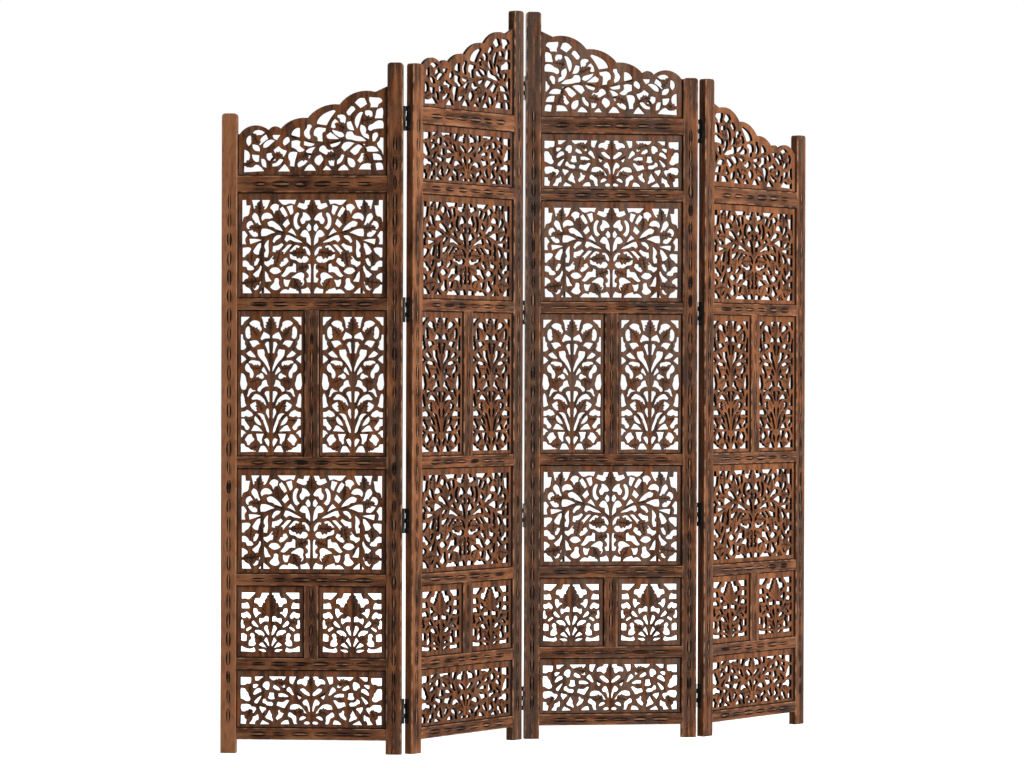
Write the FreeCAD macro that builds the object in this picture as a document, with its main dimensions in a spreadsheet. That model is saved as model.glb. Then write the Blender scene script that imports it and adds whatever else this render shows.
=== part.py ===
# A four-leaf folding screen in carved hardwood, in millimetres, +Z up.
# Each leaf is a frame of two grooved posts, tongued rails and mullions that holds pierced fret boards.
# The leaves stand in a zigzag on the floor plane, joined by butt hinges on upright pins.
# Origin: middle of the footprint at floor level.  The fronts of the leaves face -Y.

import FreeCAD
import Part
import Sketcher
import os
import re

doc = FreeCAD.newDocument("folding_screen")

# Driving sizes of the screen, one cell each
SIZES = {
    # Leaves and how they stand, headings in degrees from +X
    "leaf_width": 396,
    "fold_gap": 5,
    "first_heading": -30,
    "second_heading": 26,
    "third_heading": -19,
    "fourth_heading": 23.5,
    # Posts
    "post_width": 34,
    "post_thickness": 20,
    "post_top_radius": 7,
    # How far the posts rise above the ends of the crests that they hold
    "end_post_rise": 45,
    "side_post_rise": 2,
    "centre_post_rise": 42,
    # Rails and mullions
    "foot_height": 30,
    "rail_thickness": 18,
    "rail_height": 25,
    "crest_rail_height": 36,
    "mullion_width": 31,
    # Clear heights between the rails
    "wide_opening": 128,
    "square_opening": 158,
    "tree_opening": 231,
    "tall_opening": 320,
    # Fret boards and the grooves that hold them
    "fret_thickness": 8,
    "fret_side_border": 8,
    "fret_end_border": 13,
    "crest_low_height": 91,
    "crest_high_height": 196,
    "groove_depth": 8,
    "groove_side_clearance": 0.15,
    "groove_end_clearance": 0.4,
    # Butt hinges
    "hinge_height": 54,
    "hinge_plate_width": 13,
    "hinge_plate_thickness": 1.2,
    "hinge_swing_clearance": 0.3,
    "knuckle_end_clearance": 0.3,
    "pin_radius": 1.1,
    "pin_clearance": 0.1,
    "pin_standoff": 2,
    "lowest_hinge_level": 93,
    "second_hinge_level": 508,
    "third_hinge_level": 968,
    # How far the top hinges lie below the tops of their posts
    "side_fold_hinge_drop": 120,
    "centre_fold_hinge_drop": 174,
}

sheet = doc.addObject("Spreadsheet::Sheet", "sizes")
for row, (alias, number) in enumerate(SIZES.items(), start=1):
    sheet.set(f"A{row}", alias)
    sheet.set(f"B{row}", str(number))
    sheet.setAlias(f"B{row}", alias)
doc.recompute()


def tied(text):
    """A formula in plain size names, as an expression on the sheet."""
    return re.sub(r"[a-z]\w*", lambda word: f"sizes.{word[0]}" if word[0] in SIZES else word[0], text)


def value(text):
    """What a formula in size names comes to, in millimetres or degrees."""
    return float(sheet.evalExpression(tied(text)))


# Sizes that several pieces share, as formulas
opening_width = "(leaf_width - 2 * post_width)"
half_bay_width = f"({opening_width} / 2 - mullion_width / 2)"
seat = "(groove_depth - groove_end_clearance)"
groove_half_width = "(fret_thickness / 2 + groove_side_clearance)"
half_gap = "(fold_gap / 2)"


def sketch_on(body, name, plane_role):
    """An empty sketch on one of the body's own origin planes."""
    sketch = body.newObject("Sketcher::SketchObject", name)
    plane = next(feature for feature in body.Origin.OriginFeatures if feature.Role == plane_role)
    sketch.AttachmentSupport = [(plane, "")]
    sketch.MapMode = "FlatFace"
    return sketch


def draw(body, name, plane_role, *loops):
    """A sketch of closed straight-sided loops, each corner tied to the sheet by its two formulas."""
    sketch = sketch_on(body, name, plane_role)
    lines = []
    constraints = []
    formulas = []
    for corners in loops:
        first = len(lines)
        count = len(corners)
        points = [FreeCAD.Vector(value(across), value(up), 0) for across, up in corners]
        for i, (across, up) in enumerate(corners):
            lines.append(Part.LineSegment(points[i], points[(i + 1) % count]))
            constraints.append(Sketcher.Constraint("Coincident", first + i, 2, first + (i + 1) % count, 1))
            constraints.append(Sketcher.Constraint("DistanceX", -1, 1, first + i, 1, points[i].x))
            constraints.append(Sketcher.Constraint("DistanceY", -1, 1, first + i, 1, points[i].y))
            formulas += [None, across, up]
    sketch.addGeometry(lines, False)
    sketch.addConstraint(constraints)
    for i, formula in enumerate(formulas):
        if formula:
            sketch.setExpression(f"Constraints[{i}]", tied(formula))
    return sketch


def box_corners(left, right, low, high):
    """The four corners of a rectangle, anticlockwise."""
    return [(left, low), (right, low), (right, high), (left, high)]


def regular_corners(apothem, sides):
    """The corners of a regular polygon about the origin."""
    reach = f"{apothem} / cos(180 / {sides})"
    turns = [360 * (i + 0.5) / sides for i in range(sides)]
    return [(f"{reach} * cos({turn})", f"{reach} * sin({turn})") for turn in turns]


def pad(body, name, sketch, length):
    """The sketch padded evenly to both sides of its plane."""
    feature = body.newObject("PartDesign::Pad", name)
    feature.Profile = sketch
    feature.SideType = "Symmetric"
    feature.setExpression("Length", tied(length))
    return feature


def cut_through(body, name, sketch):
    """A pocket through the whole body, to both sides of the sketch."""
    doc.recompute()
    before = body.Shape.Volume
    feature = body.newObject("PartDesign::Pocket", name)
    feature.Profile = sketch
    feature.SideType = "Symmetric"
    feature.Type = "ThroughAll"
    doc.recompute()
    assert body.Shape.Volume < before, f"{name} cuts nothing"
    return feature


# Posts: rounded on top, grooved on the inner face from the bottom rail up to the end of the crest board

def make_post(name, height, crest_end):
    """A post with its inner face on x = 0 and its body towards +X, grooved up to the end of its crest."""
    body = doc.addObject("PartDesign::Body", name)
    outline = draw(body, f"{name}_outline", "XZ_Plane", box_corners("0", "post_width", "0", height))
    blank = pad(body, f"{name}_blank", outline, "post_thickness")
    doc.recompute()
    top = value(height)
    corners = [
        f"Edge{i}"
        for i, edge in enumerate(blank.Shape.Edges, start=1)
        if edge.BoundBox.ZLength < edge.BoundBox.YLength and edge.BoundBox.ZMin > top / 2
        and edge.BoundBox.XLength < edge.BoundBox.YLength
    ]
    rounding = body.newObject("PartDesign::Fillet", f"{name}_rounding")
    rounding.Base = (blank, corners)
    rounding.setExpression("Radius", tied("post_top_radius"))
    doc.recompute()
    before = body.Shape.Volume
    channel = draw(
        body, f"{name}_channel", "YZ_Plane",
        box_corners(
            f"-{groove_half_width}", groove_half_width, "foot_height", f"{crest_end} + groove_end_clearance"
        ),
    )
    groove = body.newObject("PartDesign::Pocket", f"{name}_groove")
    groove.Profile = channel
    groove.Reversed = True
    groove.setExpression("Length", tied("groove_depth"))
    doc.recompute()
    assert body.Shape.Volume < before, f"{name} has no groove"
    return body


# Heights at which the openings start, from the floor up
bottom_rail_top = "(foot_height + rail_height)"
square_bottom = f"({bottom_rail_top} + wide_opening + rail_height)"
lower_tree_bottom = f"({square_bottom} + square_opening + rail_height)"
tall_bottom = f"({lower_tree_bottom} + tree_opening + rail_height)"
upper_tree_bottom = f"({tall_bottom} + tall_opening + rail_height)"
outer_crest_rail_bottom = f"({upper_tree_bottom} + tree_opening)"
top_wide_bottom = f"({outer_crest_rail_bottom} + rail_height)"
inner_crest_rail_bottom = f"({top_wide_bottom} + wide_opening)"
outer_crest_bottom = f"({outer_crest_rail_bottom} + crest_rail_height)"
inner_crest_bottom = f"({inner_crest_rail_bottom} + crest_rail_height)"

low_crest_end = f"({outer_crest_bottom} + crest_low_height)"
low_crest_peak = f"({outer_crest_bottom} + crest_high_height)"
high_crest_end = f"({inner_crest_bottom} + crest_low_height)"
high_crest_peak = f"({inner_crest_bottom} + crest_high_height)"
end_post_height = f"({low_crest_end} + end_post_rise)"
side_post_height = f"({high_crest_end} + side_post_rise)"
centre_post_height = f"({high_crest_peak} + centre_post_rise)"

end_post = make_post("end_post", end_post_height, low_crest_end)
side_post = make_post("side_post", side_post_height, low_crest_peak)
inner_side_post = make_post("inner_side_post", side_post_height, high_crest_end)
centre_post = make_post("centre_post", centre_post_height, high_crest_peak)


# Rails: grooved along the edges that hold boards, with a tongue at each end for the groove of a post

def make_rail(name, height, groove_below):
    """A rail lying along X about its middle, its lower edge on z = 0."""
    body = doc.addObject("PartDesign::Body", name)
    half = "rail_thickness / 2"
    shoulder = f"{height} - groove_depth"
    section = [
        (f"-{half}", height), (f"-{half}", "0"), (half, "0"), (half, height),
        (groove_half_width, height), (groove_half_width, shoulder),
        (f"-{groove_half_width}", shoulder), (f"-{groove_half_width}", height),
    ]
    tongue_low = "0"
    if groove_below:
        tongue_low = "groove_depth"
        section[2:2] = [
            (f"-{groove_half_width}", "0"), (f"-{groove_half_width}", "groove_depth"),
            (groove_half_width, "groove_depth"), (groove_half_width, "0"),
        ]
    profile = draw(body, f"{name}_section", "YZ_Plane", section)
    pad(body, f"{name}_bar", profile, opening_width)
    tongue = draw(
        body, f"{name}_tongue_section", "YZ_Plane",
        box_corners("-fret_thickness / 2", "fret_thickness / 2", tongue_low, shoulder),
    )
    pad(body, f"{name}_tongues", tongue, f"{opening_width} + 2 * {seat}")
    return body


crest_rail = make_rail("crest_rail", "crest_rail_height", True)
cross_rail = make_rail("cross_rail", "rail_height", True)
bottom_rail = make_rail("bottom_rail", "rail_height", False)


# Mullions: short uprights between paired boards, grooved on both edges and tongued into the rails

def make_mullion(name, length):
    """A mullion standing along Z about its middle."""
    body = doc.addObject("PartDesign::Body", name)
    half = "rail_thickness / 2"
    edge = "mullion_width / 2"
    web = "(mullion_width / 2 - groove_depth)"
    right_side = [
        (edge, f"-{half}"), (edge, f"-{groove_half_width}"), (web, f"-{groove_half_width}"),
        (web, groove_half_width), (edge, groove_half_width), (edge, half),
    ]
    left_side = [(f"-{across}", along) for across, along in reversed(right_side)]
    profile = draw(body, f"{name}_section", "XY_Plane", right_side + left_side)
    pad(body, f"{name}_bar", profile, length)
    tongue = draw(
        body, f"{name}_tongue_section", "XY_Plane",
        box_corners(f"-{web}", web, "-fret_thickness / 2", "fret_thickness / 2"),
    )
    pad(body, f"{name}_tongues", tongue, f"{length} + 2 * {seat}")
    return body


tall_mullion = make_mullion("tall_mullion", "tall_opening")
short_mullion = make_mullion("short_mullion", "square_opening")


# Fret boards: every opening is a petal, a wedge from a root on a stem to a broad end.
# A petal is given as root, middle of its end and breadth.  The first two are shares of the half width
# and of the height of the pierced field, and half the breadth is a share of the petal's own length.
# The left half of a board mirrors the right.  The drawn share is half the width of a field over its
# height, as it is drawn; a pattern stretches with its board.
tree_drawn_share = 156 / 205
tall_drawn_share = 66.25 / 294
square_drawn_share = 66.25 / 132
wide_drawn_share = 156 / 102
tree_petal_shares = [
    (0.036, 0.376, 0.250, 0.900, 0.145), (0.100, 0.352, 0.526, 0.610, 0.150),
    (0.128, 0.293, 0.500, 0.312, 0.200), (0.654, 0.595, 0.740, 0.940, 0.170),
    (0.724, 0.570, 0.950, 0.700, 0.280), (0.724, 0.490, 0.950, 0.370, 0.280),
    (0.660, 0.450, 0.710, 0.180, 0.220), (0.423, 0.650, 0.452, 0.940, 0.230),
    (0.270, 0.220, 0.270, 0.040, 0.700),
]
tall_petal_shares = [
    (0.090, 0.120, 0.480, 0.330, 0.150), (0.230, 0.085, 0.850, 0.160, 0.220),
    (0.090, 0.450, 0.480, 0.660, 0.150), (0.230, 0.415, 0.850, 0.490, 0.220),
    (0.160, 0.730, 0.640, 0.940, 0.200),
]
square_petal_shares = [
    (0.090, 0.227, 0.420, 0.700, 0.170), (0.210, 0.185, 0.850, 0.420, 0.200),
    (0.640, 0.560, 0.720, 0.930, 0.280),
]
wide_petal_shares = [
    (0.038, 0.235, 0.180, 0.860, 0.160), (0.100, 0.190, 0.430, 0.560, 0.150),
    (0.590, 0.480, 0.460, 0.900, 0.220), (0.660, 0.480, 0.800, 0.900, 0.200),
    (0.700, 0.360, 0.930, 0.300, 0.300),
]


def petal_corners(root, end, breadth, drawn_share):
    """The corners of one petal in shares of a field whose drawn width is this share of its height."""
    across = (end[0] - root[0]) * drawn_share
    up = end[1] - root[1]
    side = (up * breadth / drawn_share, -across * breadth)
    return [root, (end[0] + side[0], end[1] + side[1]), (end[0] - side[0], end[1] - side[1])]


def make_fret(name, half_width, height, petal_shares, drawn_share):
    """A rectangular fret about x = 0, its field rising from z = 0 at the top of the rail below."""
    body = doc.addObject("PartDesign::Body", name)
    reach = f"({half_width} + {seat})"
    outline = draw(
        body, f"{name}_outline", "XZ_Plane",
        box_corners(f"-{reach}", reach, f"-{seat}", f"{height} + {seat}"),
    )
    pad(body, f"{name}_board", outline, "fret_thickness")
    field_half_width = f"({half_width} - fret_side_border)"
    field_height = f"({height} - 2 * fret_end_border)"
    loops = []
    for root_x, root_z, end_x, end_z, breadth in petal_shares:
        corners = petal_corners((root_x, root_z), (end_x, end_z), breadth, drawn_share)
        for sign in ("", "-"):
            loops.append([
                (f"{sign}{across:.4f} * {field_half_width}", f"fret_end_border + {up:.4f} * {field_height}")
                for across, up in corners
            ])
    openings = draw(body, f"{name}_openings", "XZ_Plane", *loops)
    cut_through(body, f"{name}_piercing", openings)
    return body


half_opening = f"{opening_width} / 2"
half_bay = f"{half_bay_width} / 2"
tree_fret = make_fret("tree_fret", half_opening, "tree_opening", tree_petal_shares, tree_drawn_share)
tall_fret = make_fret("tall_fret", half_bay, "tall_opening", tall_petal_shares, tall_drawn_share)
square_fret = make_fret("square_fret", half_bay, "square_opening", square_petal_shares, square_drawn_share)
wide_fret = make_fret("wide_fret", half_opening, "wide_opening", wide_petal_shares, wide_drawn_share)

# Crest: lobes along the top as (share across, share of the climb from the low to the high end).
# Each lobe is an arc through a start, a middle point and an end, from the low end to the high end.
crest_lobe_shares = [
    ((0.012, 0.010), (0.114, 0.190), (0.207, 0.094)),
    ((0.207, 0.094), (0.247, 0.168), (0.288, 0.123)),
    ((0.288, 0.123), (0.360, 0.290), (0.467, 0.342)),
    ((0.467, 0.342), (0.548, 0.548), (0.680, 0.622)),
    ((0.680, 0.622), (0.762, 0.836), (0.918, 0.880)),
]
# Petals of the crest: shares across and of the height of the straight line from end to end
crest_drawn_share = 328 / 196
crest_petal_shares = [
    (0.910, 0.380, 0.890, 0.860, 0.170), (0.800, 0.480, 0.720, 0.840, 0.220),
    (0.770, 0.420, 0.560, 0.640, 0.190), (0.520, 0.440, 0.400, 0.760, 0.240),
    (0.400, 0.420, 0.230, 0.640, 0.230), (0.210, 0.520, 0.100, 0.760, 0.300),
    (0.900, 0.130, 0.580, 0.290, 0.150),
]


def make_crest(name):
    """The crest fret about x = 0, its low end at -X, rising from z = 0 at the top of the crest rail."""
    body = doc.addObject("PartDesign::Body", name)
    width = value(opening_width)
    low = value("crest_low_height")
    climb = value("crest_high_height") - low
    sunk = value(seat)

    def on_outline(share):
        return FreeCAD.Vector((share[0] - 0.5) * width, low + share[1] * climb, 0)

    low_foot = FreeCAD.Vector(-width / 2 - sunk, -sunk, 0)
    high_foot = FreeCAD.Vector(width / 2 + sunk, -sunk, 0)
    high_end = FreeCAD.Vector(width / 2 + sunk, low + climb, 0)
    high_corner = FreeCAD.Vector(width / 2, low + climb, 0)
    low_corner = FreeCAD.Vector(-width / 2, low, 0)
    low_end = FreeCAD.Vector(-width / 2 - sunk, low, 0)
    first_lobe = on_outline(crest_lobe_shares[0][0])
    last_lobe = on_outline(crest_lobe_shares[-1][2])
    path = [last_lobe, high_corner, high_end, high_foot, low_foot, low_end, low_corner, first_lobe]
    edges = [Part.LineSegment(path[i], path[i + 1]) for i in range(len(path) - 1)]
    for start, middle, end in crest_lobe_shares:
        edges.append(Part.Arc(on_outline(start), on_outline(middle), on_outline(end)))
    outline = sketch_on(body, f"{name}_outline", "XZ_Plane")
    outline.addGeometry(edges, False)
    pad(body, f"{name}_board", outline, "fret_thickness")

    line_height = "(crest_low_height + {share:.4f} * (crest_high_height - crest_low_height))"
    loops = []
    for root_x, root_z, end_x, end_z, breadth in crest_petal_shares:
        corners = petal_corners((root_x, root_z), (end_x, end_z), breadth, crest_drawn_share)
        loops.append([
            (f"{across - 0.5:.4f} * {opening_width}", f"{up:.4f} * {line_height.format(share=across)}")
            for across, up in corners
        ])
    openings = draw(body, f"{name}_openings", "XZ_Plane", *loops)
    cut_through(body, f"{name}_piercing", openings)
    return body


crest_fret = make_crest("crest_fret")

# Butt hinges: flat plates on the post edges, five knuckles in turn and a pin.
# The rolled knuckles fill the gap between the posts and are kept to a few flats.
knuckle_count = 5
knuckle_sides = 8
pin_sides = 5
knuckle_pitch = f"(hinge_height / {knuckle_count})"
knuckle_reach = f"({half_gap} / cos(180 / {knuckle_sides}))"
plate_near_edge = f"({knuckle_reach} + hinge_swing_clearance)"
plate_far_edge = "(pin_standoff + hinge_plate_width)"


def make_hinge_plate(name, own_knuckles):
    """A hinge leaf about its pin on the Z axis, its plate at -X for the edge of a post, towards -Y."""
    body = doc.addObject("PartDesign::Body", name)
    post_edge = f"-{half_gap}"
    plate_face = f"hinge_plate_thickness - {half_gap}"
    plate = draw(
        body, f"{name}_plate_section", "XY_Plane",
        box_corners(post_edge, plate_face, f"-{plate_far_edge}", f"-{plate_near_edge}"),
    )
    pad(body, f"{name}_plate", plate, "hinge_height")
    flats = regular_corners(half_gap, knuckle_sides)
    rolled_eye = [(post_edge, f"-{plate_near_edge}"), (plate_face, f"-{plate_near_edge}")]
    rolled_eye += [flats[i % knuckle_sides] for i in range(knuckle_sides - 2, 2 * knuckle_sides - 4)]
    knuckle = draw(body, f"{name}_knuckle_section", "XY_Plane", rolled_eye)
    bore = draw(
        body, f"{name}_bore_section", "XY_Plane",
        regular_corners("(pin_radius + pin_clearance)", pin_sides),
    )
    lowest = f"-{knuckle_pitch} * {own_knuckles - 1}"
    knuckle.setExpression("AttachmentOffset.Base.z", tied(lowest))
    first_knuckle = pad(body, f"{name}_first_knuckle", knuckle, f"{knuckle_pitch} - knuckle_end_clearance")
    doc.recompute()
    row = body.newObject("PartDesign::LinearPattern", f"{name}_knuckles")
    row.Originals = [first_knuckle]
    row.Direction = (next(f for f in body.Origin.OriginFeatures if f.Role == "Z_Axis"), [""])
    row.Occurrences = own_knuckles
    row.setExpression("Length", tied(f"{knuckle_pitch} * 2 * {own_knuckles - 1}"))
    body.Tip = row
    cut_through(body, f"{name}_bore", bore)
    return body


def make_hinge_pin(name):
    """The pin that runs through all knuckles of one hinge."""
    body = doc.addObject("PartDesign::Body", name)
    apothem = f"pin_radius * cos(180 / {pin_sides})"
    section = draw(body, f"{name}_section", "XY_Plane", regular_corners(apothem, pin_sides))
    pad(body, f"{name}_rod", section, "hinge_height")
    return body


three_knuckle_plate = make_hinge_plate("three_knuckle_plate", 3)
two_knuckle_plate = make_hinge_plate("two_knuckle_plate", 2)
hinge_pin = make_hinge_pin("hinge_pin")


# How the leaves stand: each leaf has its own frame, with x from its left edge and y from mid thickness.
# The pins are behind the leaves at the two side folds and in front of them at the centre fold.
headings = ["first_heading", "second_heading", "third_heading", "fourth_heading"]
pin_sides_of_folds = [1, -1, 1]
upright = FreeCAD.Vector(0, 0, 1)


def stand_leaves():
    """The placement of each leaf, with the middle of the footprint at the origin."""
    width = value("leaf_width")
    pin_out = value("post_thickness / 2 + pin_standoff")
    gap = value(half_gap)
    turns = [FreeCAD.Rotation(upright, value(heading)) for heading in headings]
    places = [FreeCAD.Placement(FreeCAD.Vector(), turns[0])]
    for fold, side in enumerate(pin_sides_of_folds):
        pin = places[fold].multVec(FreeCAD.Vector(width + gap, side * pin_out, 0))
        start = pin - turns[fold + 1].multVec(FreeCAD.Vector(-gap, side * pin_out, 0))
        places.append(FreeCAD.Placement(start, turns[fold + 1]))
    half = value("post_thickness / 2")
    edges = [FreeCAD.Vector(x, y, 0) for x in (0, width) for y in (-half, half)]
    corners = [place.multVec(edge) for place in places for edge in edges]
    middle_x = (min(corner.x for corner in corners) + max(corner.x for corner in corners)) / 2
    middle_y = (min(corner.y for corner in corners) + max(corner.y for corner in corners)) / 2
    shift = FreeCAD.Placement(FreeCAD.Vector(-middle_x, -middle_y, 0), FreeCAD.Rotation())
    return [shift.multiply(place) for place in places]


leaf_places = stand_leaves()
nodes = []


def place_node(name, leaf, items):
    """One named piece, or a set of like pieces: links to the drawn bodies, placed in a leaf's frame."""
    links = []
    for i, (body, place) in enumerate(items, start=1):
        link = doc.addObject("App::Link", f"{name}_item_{i}")
        link.LinkedObject = body
        link.Placement = place
        links.append(link)
    node = doc.addObject("Part::Compound", name)
    node.Label = name
    node.Links = links
    node.Placement = leaf_places[leaf]
    nodes.append(node)


def at(x, z, turn=0):
    """A place in a leaf's frame, turned about the upright axis."""
    return FreeCAD.Placement(FreeCAD.Vector(value(x), 0, value(z)), FreeCAD.Rotation(upright, turn))


middle = "leaf_width / 2"
left_bay = f"(post_width + {half_bay_width} / 2)"
bays = [left_bay, f"(leaf_width - {left_bay})"]

# Leaves from left to right: whether the leaf is an inner one, and whether its crest climbs to the right
leaf_kinds = [(False, True), (True, True), (True, False), (False, False)]
for leaf, (inner, climbs_right) in enumerate(leaf_kinds):
    prefix = f"leaf_{leaf + 1}"
    low_post, high_post = (inner_side_post, centre_post) if inner else (end_post, side_post)
    left_post, right_post = (low_post, high_post) if climbs_right else (high_post, low_post)
    crest_turn = 0 if climbs_right else 180
    crest_rail_level = inner_crest_rail_bottom if inner else outer_crest_rail_bottom
    crest_level = inner_crest_bottom if inner else outer_crest_bottom
    rail_levels = [f"{level} - rail_height" for level in
                   (square_bottom, lower_tree_bottom, tall_bottom, upper_tree_bottom)]
    if inner:
        rail_levels.append(outer_crest_rail_bottom)

    place_node(f"{prefix}_left_post", leaf, [(left_post, at("post_width", "0", 180))])
    place_node(f"{prefix}_right_post", leaf, [(right_post, at("leaf_width - post_width", "0"))])
    place_node(f"{prefix}_bottom_rail", leaf, [(bottom_rail, at(middle, "foot_height"))])
    place_node(f"{prefix}_cross_rails", leaf, [(cross_rail, at(middle, level)) for level in rail_levels])
    place_node(f"{prefix}_crest_rail", leaf, [(crest_rail, at(middle, crest_rail_level))])
    place_node(f"{prefix}_mullions", leaf, [
        (short_mullion, at(middle, f"{square_bottom} + square_opening / 2")),
        (tall_mullion, at(middle, f"{tall_bottom} + tall_opening / 2")),
    ])
    place_node(f"{prefix}_bottom_fret", leaf, [(wide_fret, at(middle, bottom_rail_top))])
    place_node(f"{prefix}_square_frets", leaf, [(square_fret, at(bay, square_bottom)) for bay in bays])
    place_node(f"{prefix}_lower_tree_fret", leaf, [(tree_fret, at(middle, lower_tree_bottom))])
    place_node(f"{prefix}_tall_frets", leaf, [(tall_fret, at(bay, tall_bottom)) for bay in bays])
    place_node(f"{prefix}_upper_tree_fret", leaf, [(tree_fret, at(middle, upper_tree_bottom))])
    if inner:
        place_node(f"{prefix}_top_fret", leaf, [(wide_fret, at(middle, top_wide_bottom))])
    place_node(f"{prefix}_crest_fret", leaf, [(crest_fret, at(middle, crest_level, crest_turn))])


def hinge_place(on_left_leaf, side, level):
    """The frame of a hinge plate in its own leaf, turned over for the other leaf or the other face."""
    flip = FreeCAD.Rotation()
    if not on_left_leaf:
        flip = FreeCAD.Rotation(FreeCAD.Vector(0, 1, 0), 180)
    if side < 0:
        flip = FreeCAD.Rotation(FreeCAD.Vector(1, 0, 0), 180).multiply(flip)
    x = value(f"leaf_width + {half_gap}") if on_left_leaf else -value(half_gap)
    y = side * value("post_thickness / 2 + pin_standoff")
    return FreeCAD.Placement(FreeCAD.Vector(x, y, value(level)), flip)


# Hinges, four to a fold, every other one turned over so that its three-knuckle plate changes sides
for fold, side in enumerate(pin_sides_of_folds):
    top_level = f"{side_post_height} - side_fold_hinge_drop"
    if side < 0:
        top_level = f"{centre_post_height} - centre_fold_hinge_drop"
    levels = ["lowest_hinge_level", "second_hinge_level", "third_hinge_level", top_level]
    plates = [three_knuckle_plate, two_knuckle_plate]
    left_plates = [(plates[i % 2], hinge_place(True, side, level)) for i, level in enumerate(levels)]
    right_plates = [(plates[(i + 1) % 2], hinge_place(False, side, level)) for i, level in enumerate(levels)]
    pins = [(hinge_pin, hinge_place(True, side, level)) for level in levels]
    place_node(f"fold_{fold + 1}_left_hinge_plates", fold, left_plates)
    place_node(f"fold_{fold + 1}_right_hinge_plates", fold + 1, right_plates)
    place_node(f"fold_{fold + 1}_hinge_pins", fold, pins)

doc.recompute()

for item in doc.Objects:
    assert "Invalid" not in item.State and "Error" not in item.State, f"{item.Label} failed"
for node in nodes:
    assert not node.Shape.isNull() and node.Shape.isValid(), f"{node.Label} has no valid shape"

os.makedirs("parts", exist_ok=True)
for node in nodes:
    node.Shape.exportStep(f"parts/{node.Label}.step")
print(f"{len(nodes)} pieces and sets written, {sum(len(node.Shape.Solids) for node in nodes)} solids")
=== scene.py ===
# A four-leaf carved folding screen as it is seen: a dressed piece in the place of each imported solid
import math

import bpy
import numpy as np
from mathutils import Matrix, Vector


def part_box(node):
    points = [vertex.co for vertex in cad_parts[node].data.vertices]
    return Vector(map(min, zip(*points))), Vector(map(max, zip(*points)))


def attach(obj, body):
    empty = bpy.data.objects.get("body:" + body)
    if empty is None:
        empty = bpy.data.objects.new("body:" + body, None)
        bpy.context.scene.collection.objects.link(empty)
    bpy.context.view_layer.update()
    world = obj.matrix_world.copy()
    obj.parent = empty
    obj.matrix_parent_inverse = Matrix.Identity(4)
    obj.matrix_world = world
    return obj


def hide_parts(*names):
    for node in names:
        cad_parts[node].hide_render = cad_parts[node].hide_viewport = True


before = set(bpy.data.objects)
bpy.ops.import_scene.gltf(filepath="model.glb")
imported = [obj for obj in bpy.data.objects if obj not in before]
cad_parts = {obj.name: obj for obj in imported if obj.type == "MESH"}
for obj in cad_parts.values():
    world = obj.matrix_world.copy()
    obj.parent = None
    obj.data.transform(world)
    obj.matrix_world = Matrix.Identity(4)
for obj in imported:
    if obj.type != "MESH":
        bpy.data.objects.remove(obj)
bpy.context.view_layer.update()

# Posts.
# Each leaf hangs between two planed hardwood posts with eased edges and rounded tops, stained walnut brown.
# A gouge has cut a row of shallow marks down the middle of both faces. Rails and boards are housed in the inner edges.
leaf_numbers, inner_leaves = (1, 2, 3, 4), (2, 3)
leaf_width = 0.396
post_width, post_thickness, post_top_radius, post_ease = 0.034, 0.020, 0.007, 0.0014
post_mark = dict(pitch=0.0415, length=0.0385, breadth=0.0112, depth=0.0012)
post_marks_foot = 0.062


def middle_of(node):
    low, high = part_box(node)
    return (Vector(low) + Vector(high)) / 2


def leaf_place(leaf, x, y, z):
    """A place in a leaf: x runs along it from its left edge, y from mid thickness to its back, z up."""
    left, right = middle_of(f"leaf_{leaf}_left_post"), middle_of(f"leaf_{leaf}_right_post")
    along = Vector((right.x - left.x, right.y - left.y, 0)).normalized()
    back = Vector((-along.y, along.x, 0))
    corner = Vector((left.x, left.y, 0)) - along * post_width / 2
    turn = Matrix((along, back, Vector((0, 0, 1)))).transposed().to_4x4()
    return Matrix.Translation(corner) @ turn @ Matrix.Translation((x, y, z))


def wire(tree, kind, *values, **settings):
    """Adds a node to a tree: settings first, then its inputs in order, each a socket to link or a plain value."""
    node = tree.nodes.new(kind)
    for name, setting in settings.items():
        setattr(node, name, setting)
    for socket, value in zip([s for s in node.inputs if s.enabled], values):
        if isinstance(value, bpy.types.NodeSocket):
            tree.links.new(value, socket)
        elif value is not None:
            socket.default_value = value
    return node


def out(node, name=None):
    return node.outputs[name] if name else next(s for s in node.outputs if s.enabled)


def calc(tree, kind, *values):
    return out(wire(tree, "ShaderNodeMath", *values, operation=kind))


def product(tree, first, *others):
    for other in others:
        first = calc(tree, "MULTIPLY", first, other)
    return first


def new_tree(name, kind, inputs, outputs):
    """A node group with named inputs and outputs: the tree, what it is given and where it ends."""
    tree = bpy.data.node_groups.new(name, kind)
    for way, sockets in (("INPUT", inputs), ("OUTPUT", outputs)):
        for label, sort in sockets.items():
            tree.interface.new_socket(label, in_out=way, socket_type=f"NodeSocket{sort}")
    return tree, tree.nodes.new("NodeGroupInput").outputs, tree.nodes.new("NodeGroupOutput").inputs


def close_tree(tree, geometry, stain, end):
    """Every shaping tree ends in plain mesh with its stain on."""
    real = out(wire(tree, "GeometryNodeRealizeInstances", geometry))
    tree.links.new(out(wire(tree, "GeometryNodeSetMaterial", real, True, stain)), end[0])


def stand(name, data):
    thing = bpy.data.objects.new(name, data)
    bpy.context.scene.collection.objects.link(thing)
    return thing


def made_plain(thing):
    """The plain mesh that an object comes to; the object itself goes."""
    mesh = bpy.data.meshes.new_from_object(thing.evaluated_get(bpy.context.evaluated_depsgraph_get()))
    bpy.data.objects.remove(thing)
    return mesh


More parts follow.
